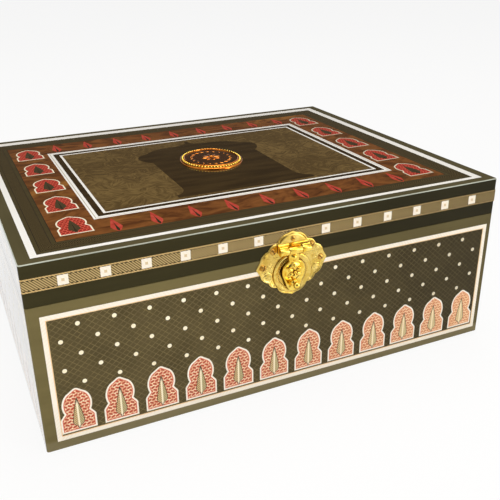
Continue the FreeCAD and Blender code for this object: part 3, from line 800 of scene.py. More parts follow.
def sheet_size(node, along_axis):
    """Half length, half height, middle height and thickness of a base sheet, in millimetres."""
    low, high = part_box(node)
    thin_axis = 1 - along_axis
    return ((high[along_axis] - low[along_axis]) / 2 / MM, (high.z - low.z) / 2 / MM,
            (high.z + low.z) / 2 / MM, (high[thin_axis] - low[thin_axis]) / MM)


SIDE_AXES = (("front", 0), ("back", 0), ("left", 1), ("right", 1))
print_sides = dict(sides)
askew = Matrix.Identity(4)
askew[1][0] = FRONT_SKEW
print_sides["front"] = sides["front"] @ askew
seam = FRAME_INSET + FRAME_LINE / 2
line_steps = (FRAME_INSET, FRAME_INSET + FRAME_LINE, FRAME_INSET + FRAME_LINE + INNER_LINE)
panel_half = {}
for side, along_axis in SIDE_AXES:
    node = "base_" + side + "_sheet"
    half_long, half_high, middle, thick = sheet_size(node, along_axis)
    panel_half[side] = half_long
    slide = FRONT_FRAME_SLIDE if side == "front" else (0.0, 0.0)
    slab = Drawing(["olive_x", "trellis"])
    slab.frames([(half_long, half_high, 0, 0), (half_long - seam, half_high - seam, *slide)],
                ["olive_x", "trellis"], (0, middle))
    slab.piece(side + "_panel", sides[side], -thick, 0.0, "base", [node])
    line = Drawing(["cream", "orange"])
    line.frames([(half_long - step, half_high - step, *slide) for step in line_steps],
                ["cream", "orange"], (0, middle))
    line.piece(side + "_frame_line", print_sides[side], PRINT_SINK, PRINT_RISE, "base")
print("panels, half lengths:", {side: round(half, 1) for side, half in panel_half.items()})

# %% [markdown]
# ## Dots on the trellis
#
# Cream dots stand on the trellis in staggered rows. A dot is a disc with few corners, because there are
# hundreds of them. All dots of a side are one piece.

# %% Dots
DOT_RADIUS = 1.3
DOT_CORNERS = 14
DOT_PITCH = 19.71
DOT_ROWS = (76.1, 67.05, 58.05, 49.05, 40.0)
DOT_STEPS = range(-9, 9)
DOT_EDGE = 5.0
FRONT_PRINT_SLIDE = 0.9
HASP_COVER = 17.0
HASP_FOOT = 62.0
dot_turns = [math.tau * i / DOT_CORNERS for i in range(DOT_CORNERS)]
dot_outline = [(DOT_RADIUS * math.cos(turn), DOT_RADIUS * math.sin(turn)) for turn in dot_turns]
dot_count = 0
for side, half_long in panel_half.items():
    drawing = Drawing(["dot"])
    slide = FRONT_PRINT_SLIDE if side == "front" else 0.0
    for row, height in enumerate(DOT_ROWS):
        start = DOT_PITCH / 2 if row % 2 == 0 else 0.0
        for i in DOT_STEPS:
            x = start + slide + DOT_PITCH * i
            behind_hasp = side == "front" and abs(x) < HASP_COVER and height > HASP_FOOT
            if abs(x) < half_long - DOT_EDGE and not behind_hasp:
                drawing.shape(dot_outline, (x, height), "dot")
                dot_count += 1
    drawing.piece(side + "_dots", print_sides[side], PRINT_SINK, PRINT_RISE, "base")
print("dots:", dot_count)

# %% [markdown]
# ## Arches with a cypress leaf
#
# Along the foot of each side stands a row of small arches: a wide foot, a waist, a round head with a
# point. The outline is drawn once as its right half, with arcs, and mirrored. Insetting the face leaves
# the cream outline and the red ring round it. The leaf lies on the fill as a second layer of print.

# %% Arches
ARCH_PITCH = 24.35
ARCH_FOOT = 8.75
ARCH_TALL = 28.3
ARCH_WIDE = 19.8
ARCH_LINE = 1.0
ARCH_RING = 0.55
LEAF_LINE = 0.34
LEAF_RISE = 0.07
arch_half = ([(0.0, ARCH_TALL), (1.1, 28.0), (5.4, 25.0)]
             + arc((6.6, 23.6), (8.35, 17.8), (7.35, 12.6), 8)
             + [(7.35, 12.6), (9.4, 9.9), (ARCH_WIDE / 2, 8.9), (ARCH_WIDE / 2, 0.0)])
arch_outline = both_halves(arch_half)
leaf_half = (arc((0.0, 22.4), (1.9, 14.8), (3.2, 7.6), 6)
             + arc((3.2, 7.6), (2.8, 4.8), (0.9, 3.4), 5) + [(0.6, 2.8), (0.6, 1.5)])
leaf_outline = both_halves(leaf_half)
arch_count = 0
for side, half_long in panel_half.items():
    room = half_long - FRAME_LINE
    count = int((2 * room - ARCH_WIDE) // ARCH_PITCH) + 1
    arches = Drawing(["cream", "salmon", "basket"])
    leaves = Drawing(["dark_print", "leaf"])
    slide = FRONT_PRINT_SLIDE if side == "front" else 0.0
    for i in range(count):
        place = ((i - (count - 1) / 2) * ARCH_PITCH + slide, ARCH_FOOT)
        arches.shape(arch_outline, place, "basket", [(ARCH_LINE, "cream"), (ARCH_RING, "salmon")])
        leaves.shape(leaf_outline, place, "leaf", [(LEAF_LINE, "dark_print")])
    arches.piece(side + "_arches", print_sides[side], PRINT_SINK, PRINT_RISE, "base")
    leaves.piece(side + "_leaves", print_sides[side], PRINT_SINK, LEAF_RISE, "base")
    arch_count += count
print("arches:", arch_count)

# %% [markdown]
# ## The band round the lid
#
# A tan band with a slanted weave is let into the lid's rails, and pale squares sit on it at even steps.
# Each square has a small tan heart.

# %% Lid bands
SQUARE_PITCH = 22.03
SQUARE_HALF = 2.8
SQUARE_HEART = 0.8
SQUARE_EDGE = 3
SQUARE_STEPS = range(-7, 8)
FRONT_SQUARE_SLIDE = 0.57


def rectangle(half_x, half_y):
    """The outline of a rectangle about its middle."""
    return [(-half_x, -half_y), (half_x, -half_y), (half_x, half_y), (-half_x, half_y)]


for side, along_axis in SIDE_AXES:
    node = "lid_" + side + "_band"
    half_long, half_high, middle, thick = sheet_size(node, along_axis)
    band = Drawing(["tan"])
    band.shape(rectangle(half_long, half_high), (0, middle), "tan")
    for face in band.mesh.faces:
        for loop in face.loops:
            loop[band.map].uv.y += half_high
    band.piece(side + "_band", sides[side], -thick, 0.0, "lid", [node])
    squares = Drawing(["cream", "heart"])
    slide = FRONT_SQUARE_SLIDE if side == "front" else 0.0
    for i in SQUARE_STEPS:
        x = i * SQUARE_PITCH + slide
        behind_hasp = side == "front" and i == 0
        if abs(x) + SQUARE_HALF < half_long - SQUARE_EDGE and not behind_hasp:
            squares.shape(rectangle(SQUARE_HALF, SQUARE_HALF), (x, middle), "heart",
                          [(SQUARE_HALF - SQUARE_HEART, "cream")])
    squares.piece(side + "_squares", sides[side], PRINT_SINK, PRINT_RISE, "lid")
print("bands and squares laid on", len(SIDE_AXES), "sides")

# %% [markdown]
# ## The lid's printed sheet
#
# From the edge inwards: a dark strip with a woven stripe, the burl border, a white line with a grey
# thread in it, a dark gap, a thin white line and the bronze centre. Nested rectangles make them all in
# one slab again. The white line along the lid's edge is a print of its own, because it runs over the
# joint between the sheet and the rails.

# %% Lid sheet
sheet_low, sheet_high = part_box("lid_top_sheet")
half_x, half_y = sheet_high.x / MM, sheet_high.y / MM
lid_thick = (sheet_high.z - sheet_low.z) / MM
LID_FRAMES = [
    ((half_x, half_y), "dark_x"), ((140.5, 110.4), "lid_dark"), ((138.2, 107.0), "dark_print"),
    ((137.7, 106.5), "woven"), ((131.4, 100.5), "dark_print"), ((130.9, 100.0), "lid_dark"),
    ((128.7, 98.2), "dark_print"), ((128.1, 97.7), "burl"), ((102.25, 73.9), "white"),
    ((101.1, 72.75), "grey"), ((100.5, 72.2), "white"), ((98.8, 70.2), "niche"),
    ((94.8, 66.25), "white"), ((93.15, 64.5), "bronze"),
]
EDGE_WHITE = (145.0, 115.45, -0.25, -0.1)
LINE_SLIDE = Vector((-1.05, -1.95))
PANEL_SLIDE = Vector((-1.6, -3.05))


def lid_slide(half_long):
    """The print lies left and front of the lid's middle, and its centre more than its edge."""
    edge, centre = LID_FRAMES[1][0][0], LID_FRAMES[-1][0][0]
    if half_long > edge:
        return (0, 0)
    return LINE_SLIDE.lerp(PANEL_SLIDE, (edge - half_long) / (edge - centre))


lid_used = ["dark_x", "white", "lid_dark", "dark_print", "woven", "burl", "grey", "niche", "bronze"]
sheet = Drawing(lid_used)
sheet.frames([(*size, *lid_slide(size[0])) for size, finish in LID_FRAMES],
             [finish for size, finish in LID_FRAMES])
sheet.piece("lid_sheet", sides["top"], -lid_thick, 0.0, "lid", ["lid_top_sheet"])
edge_white = Drawing(["white"])
edge_white.frames([EDGE_WHITE, (*LID_FRAMES[1][0], *LINE_SLIDE)], ["white"])
edge_white.piece("lid_edge_line", sides["top"], PRINT_SINK, PRINT_RISE, "lid")
print("lid sheet:", len(LID_FRAMES), "frames")

# %% [markdown]
# ## Prints on the lid
#
# Five red arches stand on each short border and nine red leaves on each long one, all pointing to the
# back. A dark niche stands in the centre panel behind the medallion. Each is drawn as its right half.

# %% Lid outlines
lid_arch_half = ([(0.0, 28.3), (1.1, 28.0), (5.4, 25.0)] + arc((6.7, 23.6), (8.6, 17.8), (7.5, 12.6), 8)
                 + [(7.5, 12.6), (9.0, 10.2), (9.4, 9.2), (9.4, 0.8)])
lid_leaf_half = ([(0.0, 22.8)] + arc((0.25, 22.0), (1.9, 15.6), (3.4, 9.2), 5)
                 + arc((3.4, 9.2), (2.6, 6.4), (0.7, 5.0), 4) + [(0.6, 3.0)])
lid_vein_half = [(0.0, 17.0), (0.3, 12.0), (0.6, 6.0), (0.45, 3.4)]
border_leaf_half = ([(0.0, 20.6)] + arc((0.2, 20.2), (1.9, 13.6), (3.4, 7.2), 5)
                    + arc((3.4, 7.2), (2.0, 3.0), (0.1, 0.0), 4) + [(0.1, 0.0)])
border_vein_half = [(0.0, 15.5), (0.25, 10.0), (0.75, 4.6), (0.9, 3.0), (0.35, 0.8)]
niche_half = ([(0.0, 57.5), (1.2, 55.0)] + arc((2.2, 51.0), (6.5, 48.0), (16.0, 46.5), 4)
              + arc((16.0, 46.5), (30.0, 43.0), (38.0, 36.0), 5)
              + arc((38.0, 36.0), (45.5, 31.0), (45.0, 20.0), 6)
              + arc((45.0, 20.0), (43.0, 16.0), (40.0, 13.0), 3) + [(40.0, 13.0), (40.0, -46.0)]
              + arc((40.0, -46.0), (42.0, -55.0), (48.0, -60.0), 4) + [(48.0, -60.0), (48.0, -64.0)])
print("niche drawn with", len(niche_half), "points on each half")

# %% Lid prints
LID_ARCH_X = 115.2
LID_ARCH_SLIDE = -1.5
LID_ARCH_FEET = (-94.0, -55.6, -17.2, 21.2, 59.6)
LID_ARCH_LINE = 0.9
LID_LEAF_PITCH = 23.55
LID_LEAF_SLIDE = -0.8
LID_LEAF_FEET = (-100.0, 72.6)
LID_LEAF_STEPS = range(-4, 5)
VEIN_RISE = 0.1


def lid_print(name, used, half, places, rise, rims=()):
    """One printed shape at several places of the lid. The last finish fills it."""
    drawing = Drawing(used)
    for place in places:
        drawing.shape(both_halves(half), place, used[-1], rims)
    drawing.piece(name, sides["top"], PRINT_SINK, rise, "lid")


arch_places = [(x, y) for x in (LID_ARCH_SLIDE - LID_ARCH_X, LID_ARCH_SLIDE + LID_ARCH_X)
               for y in LID_ARCH_FEET]
leaf_places = [(i * LID_LEAF_PITCH + LID_LEAF_SLIDE, y) for y in LID_LEAF_FEET for i in LID_LEAF_STEPS]
lid_print("lid_arches", ["dot", "lid_basket"], lid_arch_half, arch_places, PRINT_RISE,
          [(LID_ARCH_LINE, "dot")])
lid_print("lid_arch_leaves", ["deep_leaf"], lid_leaf_half, arch_places, LEAF_RISE)
lid_print("lid_arch_veins", ["dark_print"], lid_vein_half, arch_places, VEIN_RISE)
lid_print("lid_border_leaves", ["red"], border_leaf_half, leaf_places, PRINT_RISE)
lid_print("lid_leaf_veins", ["dark_print"], border_vein_half, leaf_places, LEAF_RISE)
lid_print("lid_niche", ["niche"], niche_half, [(0, 0)], PRINT_RISE)
print("lid prints:", len(arch_places), "arches,", len(leaf_places), "leaves and a niche")

# %% [markdown]
# ## Gilt metal
#
# The hasp, hinges and screws are stamped brass with a thin gilt layer. Fine scratches and old polish make
# the gloss uneven, and the hollows are painted brown, partly as old polish and partly as painted shade.

# %% Metal
HOLLOW_REACH = 0.0012
HOLLOW_SPAN = (0.35, 0.85)
STIPPLE_DEEP = 0.0003


def gilt_finish(name, low, high, hollow_polish_and_shade, roughness, stipple, smudge=0.14):
    """Gilt brass in two tones, painted brown in the hollows as old polish and as painted shade, and a
    stippled ground.
    """
    tree, shader, spots = finish_start(name, name)
    shader.inputs["Metallic"].default_value = 1.0
    tarnish = cloud(tree, spots, 260.0, 4.0, 0.6, 0.6)
    gilt = mixed(tree, between(tree, tarnish, 0.35, 0.7), low, high)
    # Painted shade: where the surface is sheltered it turns to the hollows' brown.
    shelter = add_node(tree, "ShaderNodeAmbientOcclusion", {"Distance": HOLLOW_REACH},
                       samples=8, only_local=True)
    open_air = between(tree, shelter.outputs["AO"], *HOLLOW_SPAN)
    tree.links.new(mixed(tree, open_air, hollow_polish_and_shade, gilt), shader.inputs["Base Color"])
    uneven_gloss(tree, shader, spots, roughness, smudge)
    bumpy(tree, shader, stipple, STIPPLE_DEEP, cloud(tree, spots, 900.0, 3.0))


# The third colour of each is the hollows' brown: old polish and painted shade.
gilt_finish("gilt", paint(226, 190, 88), paint(244, 216, 124), paint(128, 74, 18), 0.2, 0.35)
gilt_finish("bright_gilt", paint(238, 192, 66), paint(252, 222, 108), paint(140, 74, 12), 0.06, 0.08, 0.07)
gilt_finish("aged_gilt", paint(184, 136, 60), paint(226, 180, 92), paint(92, 50, 16), 0.24, 0.2)
gilt_finish("copper", paint(178, 98, 30), paint(214, 136, 52), paint(84, 38, 10), 0.18, 0.15)
print("metal finishes made:", len(finishes), "finishes in all")

# %% [markdown]
# ## Enamel, velvet and plywood
#
# The medallion's field is dark enamel. Velvet is a pile of short threads: brushed one way it looks
# lighter than the other, and its sheen pales it towards the edges. Plywood shows long streaks of grain.

# %% Enamel, velvet and plywood
PILE_DEEP = 0.0003
tree, shader, spots = finish_start("enamel", "dark_enamel")
deep = mixed(tree, cloud(tree, spots, 120.0), paint(52, 30, 14), paint(78, 46, 20))
tree.links.new(deep, shader.inputs["Base Color"])
uneven_gloss(tree, shader, spots, 0.06, 0.1)

tree, shader, spots = finish_start("velvet", "velvet_lining")
pile = cloud(tree, spots, 900.0, 3.0)
brushed = between(tree, cloud(tree, spots, 30.0, 3.0, 0.6, 0.8), *TONES)
nap = mixed(tree, brushed, paint(86, 18, 24), paint(118, 30, 36))
tree.links.new(mixed(tree, pile, nap, paint(66, 12, 18)), shader.inputs["Base Color"])
shader.inputs["Roughness"].default_value = 0.9
shader.inputs["Sheen Weight"].default_value = 0.6
shader.inputs["Sheen Roughness"].default_value = 0.4
shader.inputs["Sheen Tint"].default_value = paint(220, 130, 130)
bumpy(tree, shader, 0.5, PILE_DEEP, pile)

tree, shader, spots = finish_start("plywood", "plain_plywood")
stretched = add_node(tree, "ShaderNodeMapping", {"Vector": spots, "Scale": (0.05, 1.0, 1.0)}).outputs[0]
streaks = between(tree, cloud(tree, stretched, 130.0, 6.0, 0.65, 0.5), *TONES)
tree.links.new(mixed(tree, streaks, paint(150, 112, 70), paint(186, 146, 98)), shader.inputs["Base Color"])
shader.inputs["Roughness"].default_value = 0.7
print("finishes:", len(finishes))

# %% [markdown]
# ## Turned and stamped metal
#
# Two ways of making a mesh cover all the metal. A knob or a screw head is turned on a lathe, so a
# profile spins about an axis. A stamped leaf or plate is a flat outline with thickness whose upper face
# is inset and lifted a few times, which leaves a raised rim or a crown. Both are drawn in millimetres in
# the same flat frame as the prints, with Z standing out of the box.

# %% Metal helpers
def made_since(mesh, before):
    """The vertices that a mesh has gained."""
    return [vert for vert in mesh.verts if vert not in before]


def turned(mesh, profile, at, steps, closed=False, stretch=1.0):
    """Spins a profile of (radius, height) points about Z. Stretch makes the round an oval along Y."""
    before = set(mesh.verts)
    points = [mesh.verts.new((radius, 0, height)) for radius, height in profile]
    ends = points[1:] + points[:1] if closed else points[1:]
    edges = [mesh.edges.new(pair) for pair in zip(points, ends)]
    bmesh.ops.spin(mesh, geom=points + edges, cent=(0, 0, 0), axis=(0, 0, 1), angle=math.tau,
                   steps=steps, use_merge=True)
    bmesh.ops.remove_doubles(mesh, verts=made_since(mesh, before), dist=1e-4)
    made = made_since(mesh, before)
    bmesh.ops.recalc_face_normals(mesh, faces=list({face for vert in made for face in vert.link_faces}))
    bmesh.ops.scale(mesh, verts=made, vec=(1, stretch, 1))
    bmesh.ops.translate(mesh, verts=made, vec=at)
    return made


def relief(mesh, outline, floor, lifts):
    """A closed raised shape that stands from floor. Each (inset, rise) shapes its upper face further."""
    corners = [mesh.verts.new((x, y, floor)) for x, y in outline]
    bottom = mesh.faces.new(corners)
    grown = bmesh.ops.extrude_face_region(mesh, geom=[bottom], use_keep_orig=True)["geom"]
    tops = [item for item in grown if isinstance(item, bmesh.types.BMVert)]
    top = next(face for face in tops[0].link_faces if all(vert in tops for vert in face.verts))
    bmesh.ops.translate(mesh, verts=tops, vec=(0, 0, lifts[0][1]))
    walls = {face for vert in corners for face in vert.link_faces} | {top}
    bmesh.ops.recalc_face_normals(mesh, faces=list(walls))
    for inset, rise in lifts[1:]:
        bmesh.ops.inset_region(mesh, faces=[top], thickness=inset, depth=rise, use_even_offset=True)


def leaf_shape(length, width, root, angle):
    """A pointed leaf that starts at root and points along angle, in degrees from X."""
    right = arc((0, length), (width / 2, length * 0.45), (0, 0), 6) + [(0, 0)]
    lean = math.radians(angle - 90)
    cos, sin = math.cos(lean), math.sin(lean)
    return [(root[0] + x * cos - y * sin, root[1] + x * sin + y * cos) for x, y in both_halves(right)]


def leaf_relief(mesh, length, width, root, angle, floor, rise):
    """A leaf in relief with a rounded back."""
    relief(mesh, leaf_shape(length, width, root, angle), floor,
           [(0, rise * 0.35), (width * 0.1, rise * 0.4), (width * 0.13, rise * 0.25)])


def leaf_pairs(mesh, leaves, floor):
    """Leaves on the right wing and their mirror images: (length, width, root, angle, rise) each."""
    for sign, flip in ((1, 0), (-1, 180)):
        for length, width, (x, height), angle, rise in leaves:
            leaf_relief(mesh, length, width, (sign * x, height), flip + sign * angle, floor, rise)


def bead(mesh, at, radius):
    """A small ball."""
    made = bmesh.ops.create_icosphere(mesh, subdivisions=2, radius=radius)["verts"]
    bmesh.ops.translate(mesh, verts=made, vec=at)


def bead_ring(mesh, count, circle, middle, height, radius, stretch=1.0):
    """Balls in a ring about a middle on the Y axis. Stretch makes the ring an oval."""
    for i in range(count):
        turn = math.tau * i / count
        place = (circle * math.cos(turn), middle + circle * stretch * math.sin(turn), height)
        bead(mesh, place, radius)


CREASE = math.radians(50)


def smooth_faces(made):
    """Shades a piece smooth. Edges sharper than the crease angle stay crisp."""
    made.data.shade_smooth()
    made.data.set_sharp_from_angle(angle=CREASE)


def metal_piece(mesh, name, side, used, body, replaces=()):
    """Lays metal work on its side of the box."""
    bmesh.ops.transform(mesh, matrix=side @ Matrix.Scale(MM, 4), verts=mesh.verts)
    smooth_faces(settle(mesh, name, used, body, replaces))


print("metal helpers ready, crease at", round(math.degrees(CREASE)), "degrees")

# %% [markdown]
# ## The hasp's plates
#
# Both plates are stamped from one scalloped lozenge that is cut at the seam. The outline is inset and
# lifted for its rolled rim, then cut with a plane, and the cut is filled. A turned dish with a ring of
# beads lies behind the flap. Leaves in relief and rows of grains cover the wings, as punched by a die.

# %% Plate outline
SEAM_TOUCH = 0.08
SEAM_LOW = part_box("hasp_base_plate")[1].z / MM + SEAM_TOUCH
SEAM_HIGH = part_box("hasp_lid_plate")[0].z / MM - SEAM_TOUCH
HASP_MIDDLE = 85.3
HASP_SIDE_TIP = 23.5
HASP_END_TIP = 20.6
HASP_CUSPS = ((21.0, 4.2), (15.7, 10.1), (10.0, 14.1), (3.0, 19.4))
SCALLOP_RISE = 1.3
PLATE_GROUND = 0.65
RIM_LIFTS = [(0, 0.55), (0.3, 0.35), (0.45, 0.1), (0.45, -0.35)]


def scalloped_outline():
    """The lozenge: straight into its four tips, with an outward arc between one cusp and the next."""
    quarter = [(HASP_SIDE_TIP, 0.0)]
    for start, end in zip(HASP_CUSPS, HASP_CUSPS[1:]):
        along = Vector(end) - Vector(start)
        outward = Vector((along.y, -along.x)).normalized()
        bulge = (Vector(start) + Vector(end)) / 2 + outward * SCALLOP_RISE
        quarter += arc(start, bulge, end, 5)
    quarter += [HASP_CUSPS[-1], (0.0, HASP_END_TIP)]
    right = quarter[::-1] + [(x, -y) for x, y in quarter[1:]]
    return [(x, y + HASP_MIDDLE) for x, y in both_halves(right)]


plate_outline = scalloped_outline()
print("plate outline:", len(plate_outline), "corners, seam from", round(SEAM_LOW, 2),
      "to", round(SEAM_HIGH, 2))


# %% Plate helpers
def cut_at(mesh, height, keep_above):
    """Keeps what is above or below a height and closes the cut."""
    whole = mesh.verts[:] + mesh.edges[:] + mesh.faces[:]
    bmesh.ops.bisect_plane(mesh, geom=whole, plane_co=(0, height, 0), plane_no=(0, 1, 0),
                           clear_inner=keep_above, clear_outer=not keep_above)
    bmesh.ops.holes_fill(mesh, edges=[edge for edge in mesh.edges if edge.is_boundary], sides=0)


GRAIN_PITCH = 0.95
GRAIN_ROW = 0.82
GRAIN_RADIUS = 0.34
GRAIN_LOW = 0.55
GRAIN_STEPS = range(-24, 25)
RIM_CLEAR = 1.09
rim_points = [Vector(point) for point in plate_outline]
plate_middle = Vector((0, HASP_MIDDLE))


def on_ground(x, height):
    """Whether a place lies inside the lozenge, clear of its rim."""
    place = plate_middle + (Vector((x, height)) - plate_middle) * RIM_CLEAR
    return any(geometry.intersect_point_tri_2d(place, plate_middle, a, b)
               for a, b in zip(rim_points, rim_points[1:] + rim_points[:1]))


def grains(mesh, bottom, top, clear):
    """Staggered rows of low grains between two heights, away from the (x, height, reach) places."""
    count = 0
    for row in range(int((top - bottom) / GRAIN_ROW) + 1):
        height = bottom + row * GRAIN_ROW
        for step in GRAIN_STEPS:
            x = (step + row % 2 / 2) * GRAIN_PITCH
            free = all(math.hypot(x - place[0], height - place[1]) > place[2] for place in clear)
            if free and on_ground(x, height):
                grain = bmesh.ops.create_icosphere(mesh, subdivisions=1, radius=GRAIN_RADIUS)["verts"]
                bmesh.ops.scale(mesh, verts=grain, vec=(1, 1, GRAIN_LOW))
                bmesh.ops.translate(mesh, verts=grain, vec=(x, height, PLATE_GROUND))
                count += 1
    return count


print("plate helpers ready, grains of", GRAIN_RADIUS, "mm")

# %% Lower plate
DISH_MIDDLE = 79.5
DISH_PROFILE = [(0, 0.72), (7.8, 0.72), (8.8, 0.85), (10.0, 1.12), (11.1, 1.45), (11.6, 1.6), (12.0, 1.62),
                (12.4, 1.4), (12.6, 1.0), (12.7, 0.4), (0, 0.4)]
DISH_CLEAR = 13.4
DISH_BEADS = 52
BEAD_CIRCLE = 9.4
BUTTON_PLACE = 81.5
SEAT_PROFILE = [(0, 1.0), (2.6, 1.0), (3.1, 0.7), (3.1, 0.5), (0, 0.5)]
LEAF_FLOOR = 0.5
WING_ROOT = (13.5, 81.2)
SIDE_ROOT = (13.6, 85.2)
BASE_LEAVES = (
    (5.2, 2.3, WING_ROOT, 10, 0.55), (5.6, 2.3, WING_ROOT, -16, 0.55), (5.2, 2.3, WING_ROOT, -42, 0.55),
    (4.2, 2.3, WING_ROOT, -68, 0.55), (3.2, 1.8, SIDE_ROOT, 30, 0.5), (3.4, 1.8, SIDE_ROOT, 72, 0.5),
    (2.8, 1.8, (10.6, 73.4), -32, 0.5),
)
BASE_SCREWS = ((-19.0, 85.8), (19.0, 85.8))
SCREW_CLEAR = 2.3
base_plate = bmesh.new()
relief(base_plate, plate_outline, 0.0, RIM_LIFTS)
turned(base_plate, DISH_PROFILE, (0, DISH_MIDDLE, 0), 72)
cut_at(base_plate, SEAM_LOW, keep_above=False)
turned(base_plate, SEAT_PROFILE, (0, BUTTON_PLACE, 0), 28)
bead_ring(base_plate, DISH_BEADS, BEAD_CIRCLE, DISH_MIDDLE, 1.05, 0.42)
leaf_pairs(base_plate, BASE_LEAVES, LEAF_FLOOR)
base_clear = [(0, DISH_MIDDLE, DISH_CLEAR)] + [(*place, SCREW_CLEAR) for place in BASE_SCREWS]
grain_count = grains(base_plate, 75.6, 90.0, base_clear)
metal_piece(base_plate, "hasp_plate_base", sides["front"], ["gilt"], "base",
            ["hasp_base_plate"])
print("lower plate stamped with", grain_count, "grains")

# %% [markdown]
# ## The barrel and the upper plate
#
# The barrel's outer lengths are rolled from the upper plate, and the flap's own length turns between
# them. A bent sheet joins plate and barrel. Behind the flap it ends short, so that the flap has room.

# %% Barrel
BARREL_HEIGHT = 95.0
BARREL_OUT = 3.8
BARREL_RADIUS = 2.4
BARREL_END = 10.0
FLAP_KNUCKLE = 4.5
KNUCKLE_ROUND = 0.3


def knuckle(mesh, start, end):
    """A length of the barrel, along X, with rounded ends."""
    before = set(mesh.verts)
    made = bmesh.ops.create_cone(mesh, cap_ends=True, segments=40, radius1=BARREL_RADIUS,
                                 radius2=BARREL_RADIUS, depth=end - start)["verts"]
    rims = {edge for vert in made for edge in vert.link_edges
            if abs(edge.verts[0].co.z - edge.verts[1].co.z) < 1e-6}
    bmesh.ops.bevel(mesh, geom=list(rims), offset=KNUCKLE_ROUND, offset_type="OFFSET", affect="EDGES",
                    segments=3, profile=0.5, material=-1)
    made = made_since(mesh, before)
    bmesh.ops.rotate(mesh, verts=made, cent=(0, 0, 0), matrix=Matrix.Rotation(math.radians(90), 3, "Y"))
    bmesh.ops.translate(mesh, verts=made, vec=((start + end) / 2, BARREL_HEIGHT, BARREL_OUT))


def bent_sheet(mesh, profile, start, end):
    """Metal of one profile, (height, out), that runs along X."""
    corners = [mesh.verts.new((start, height, out)) for height, out in profile]
    face = mesh.faces.new(corners)
    grown = bmesh.ops.extrude_face_region(mesh, geom=[face], use_keep_orig=True)["geom"]
    far = [item for item in grown if isinstance(item, bmesh.types.BMVert)]
    bmesh.ops.translate(mesh, verts=far, vec=(end - start, 0, 0))
    around = {item for vert in corners + far for item in vert.link_faces}
    bmesh.ops.recalc_face_normals(mesh, faces=list(around))


print("barrel:", 2 * BARREL_END, "mm long, radius", BARREL_RADIUS, "mm")

# %% Upper plate
SHEET_BACK = [(99.4, 0.6), (98.8, 1.3), (98.3, 2.2), (97.95, 3.1), (97.78, 3.9)]
OVER_FLAP = [(97.6, 3.8), (97.25, 2.55), (96.5, 1.7), (95.7, 1.34), (95.3, 0.6)]
OVER_END = [(97.36, 4.3), (95.0, 3.8), (93.2, 0.6)]
SHEET_SHORT = 0.2
SHELL_LIFTS = [(0, 0.35), (0.4, 0.2), (0.4, 0.1)]
LID_ROOT = (15.4, 92.9)
LID_LEAVES = ((2.6, 1.8, LID_ROOT, 48, 0.5), (3.6, 1.8, LID_ROOT, 8, 0.5), (3.6, 1.8, LID_ROOT, -25, 0.5))
LID_SCREWS = ((-12.8, 95.0), (12.8, 95.0), (0.0, 101.6))
BARREL_CLEAR = (0, 94.0, 12.0)
lid_plate = bmesh.new()
relief(lid_plate, plate_outline, 0.0, RIM_LIFTS)
cut_at(lid_plate, SEAM_HIGH, keep_above=True)
shell = arc((9.0, 98.4), (0.0, 104.2), (-9.0, 98.4), 14) + [(-9.0, 98.4)]
relief(lid_plate, shell, LEAF_FLOOR, SHELL_LIFTS)
leaf_pairs(lid_plate, LID_LEAVES, LEAF_FLOOR)
lid_clear = [BARREL_CLEAR] + [(*place, SCREW_CLEAR) for place in LID_SCREWS]
grain_count = grains(lid_plate, 91.8, 98.0, lid_clear)
stamped = set(lid_plate.faces)
for sign in (1, -1):
    knuckle(lid_plate, *sorted((sign * FLAP_KNUCKLE, sign * BARREL_END)))
    ends = (sign * (FLAP_KNUCKLE + SHEET_SHORT), sign * (BARREL_END - SHEET_SHORT))
    bent_sheet(lid_plate, SHEET_BACK + OVER_END, *sorted(ends))
flap_room = FLAP_KNUCKLE + 2 * SHEET_SHORT
bent_sheet(lid_plate, SHEET_BACK + OVER_FLAP, -flap_room, flap_room)
for face in lid_plate.faces:
    face.material_index = 0 if face in stamped else 1
metal_piece(lid_plate, "hasp_plate_lid", sides["front"], ["gilt", "bright_gilt"], "lid",
            ["hasp_lid_plate"])
print("upper plate stamped with", grain_count, "grains")

# %% [markdown]
# ## The hasp's flap
#
# The flap hangs from the middle of the barrel: a neck with a small boss, a disc with a flower in relief,
# and a foot with a knob to lift it by. Its outline follows the two rounds and the straight flanks that
# touch them both.

# %% Flap outline
DISC_MIDDLE = 81.0
DISC_RADIUS = 7.5
FOOT_MIDDLE = 72.7
FOOT_RADIUS = 4.5
HALF_ROOT = 0.707
NECK_HALF = 3.2
fall = (FOOT_RADIUS - DISC_RADIUS) / (DISC_MIDDLE - FOOT_MIDDLE)
across = math.sqrt(1 - fall ** 2)
shoulder = (NECK_HALF, DISC_MIDDLE + math.sqrt(DISC_RADIUS ** 2 - NECK_HALF ** 2))
disc_side = (DISC_RADIUS, DISC_MIDDLE)
flank_top = (DISC_RADIUS * across, DISC_MIDDLE + DISC_RADIUS * fall)
flank_end = (FOOT_RADIUS * across, FOOT_MIDDLE + FOOT_RADIUS * fall)
foot_side = (FOOT_RADIUS * HALF_ROOT, FOOT_MIDDLE - FOOT_RADIUS * HALF_ROOT)
foot_end = (0.0, FOOT_MIDDLE - FOOT_RADIUS)
flap_half = ([(NECK_HALF, BARREL_HEIGHT)] + arc(shoulder, disc_side, flank_top, 12)
             + [flank_top] + arc(flank_end, foot_side, foot_end, 6) + [foot_end])
print("flap outline:", len(both_halves(flap_half)), "corners")

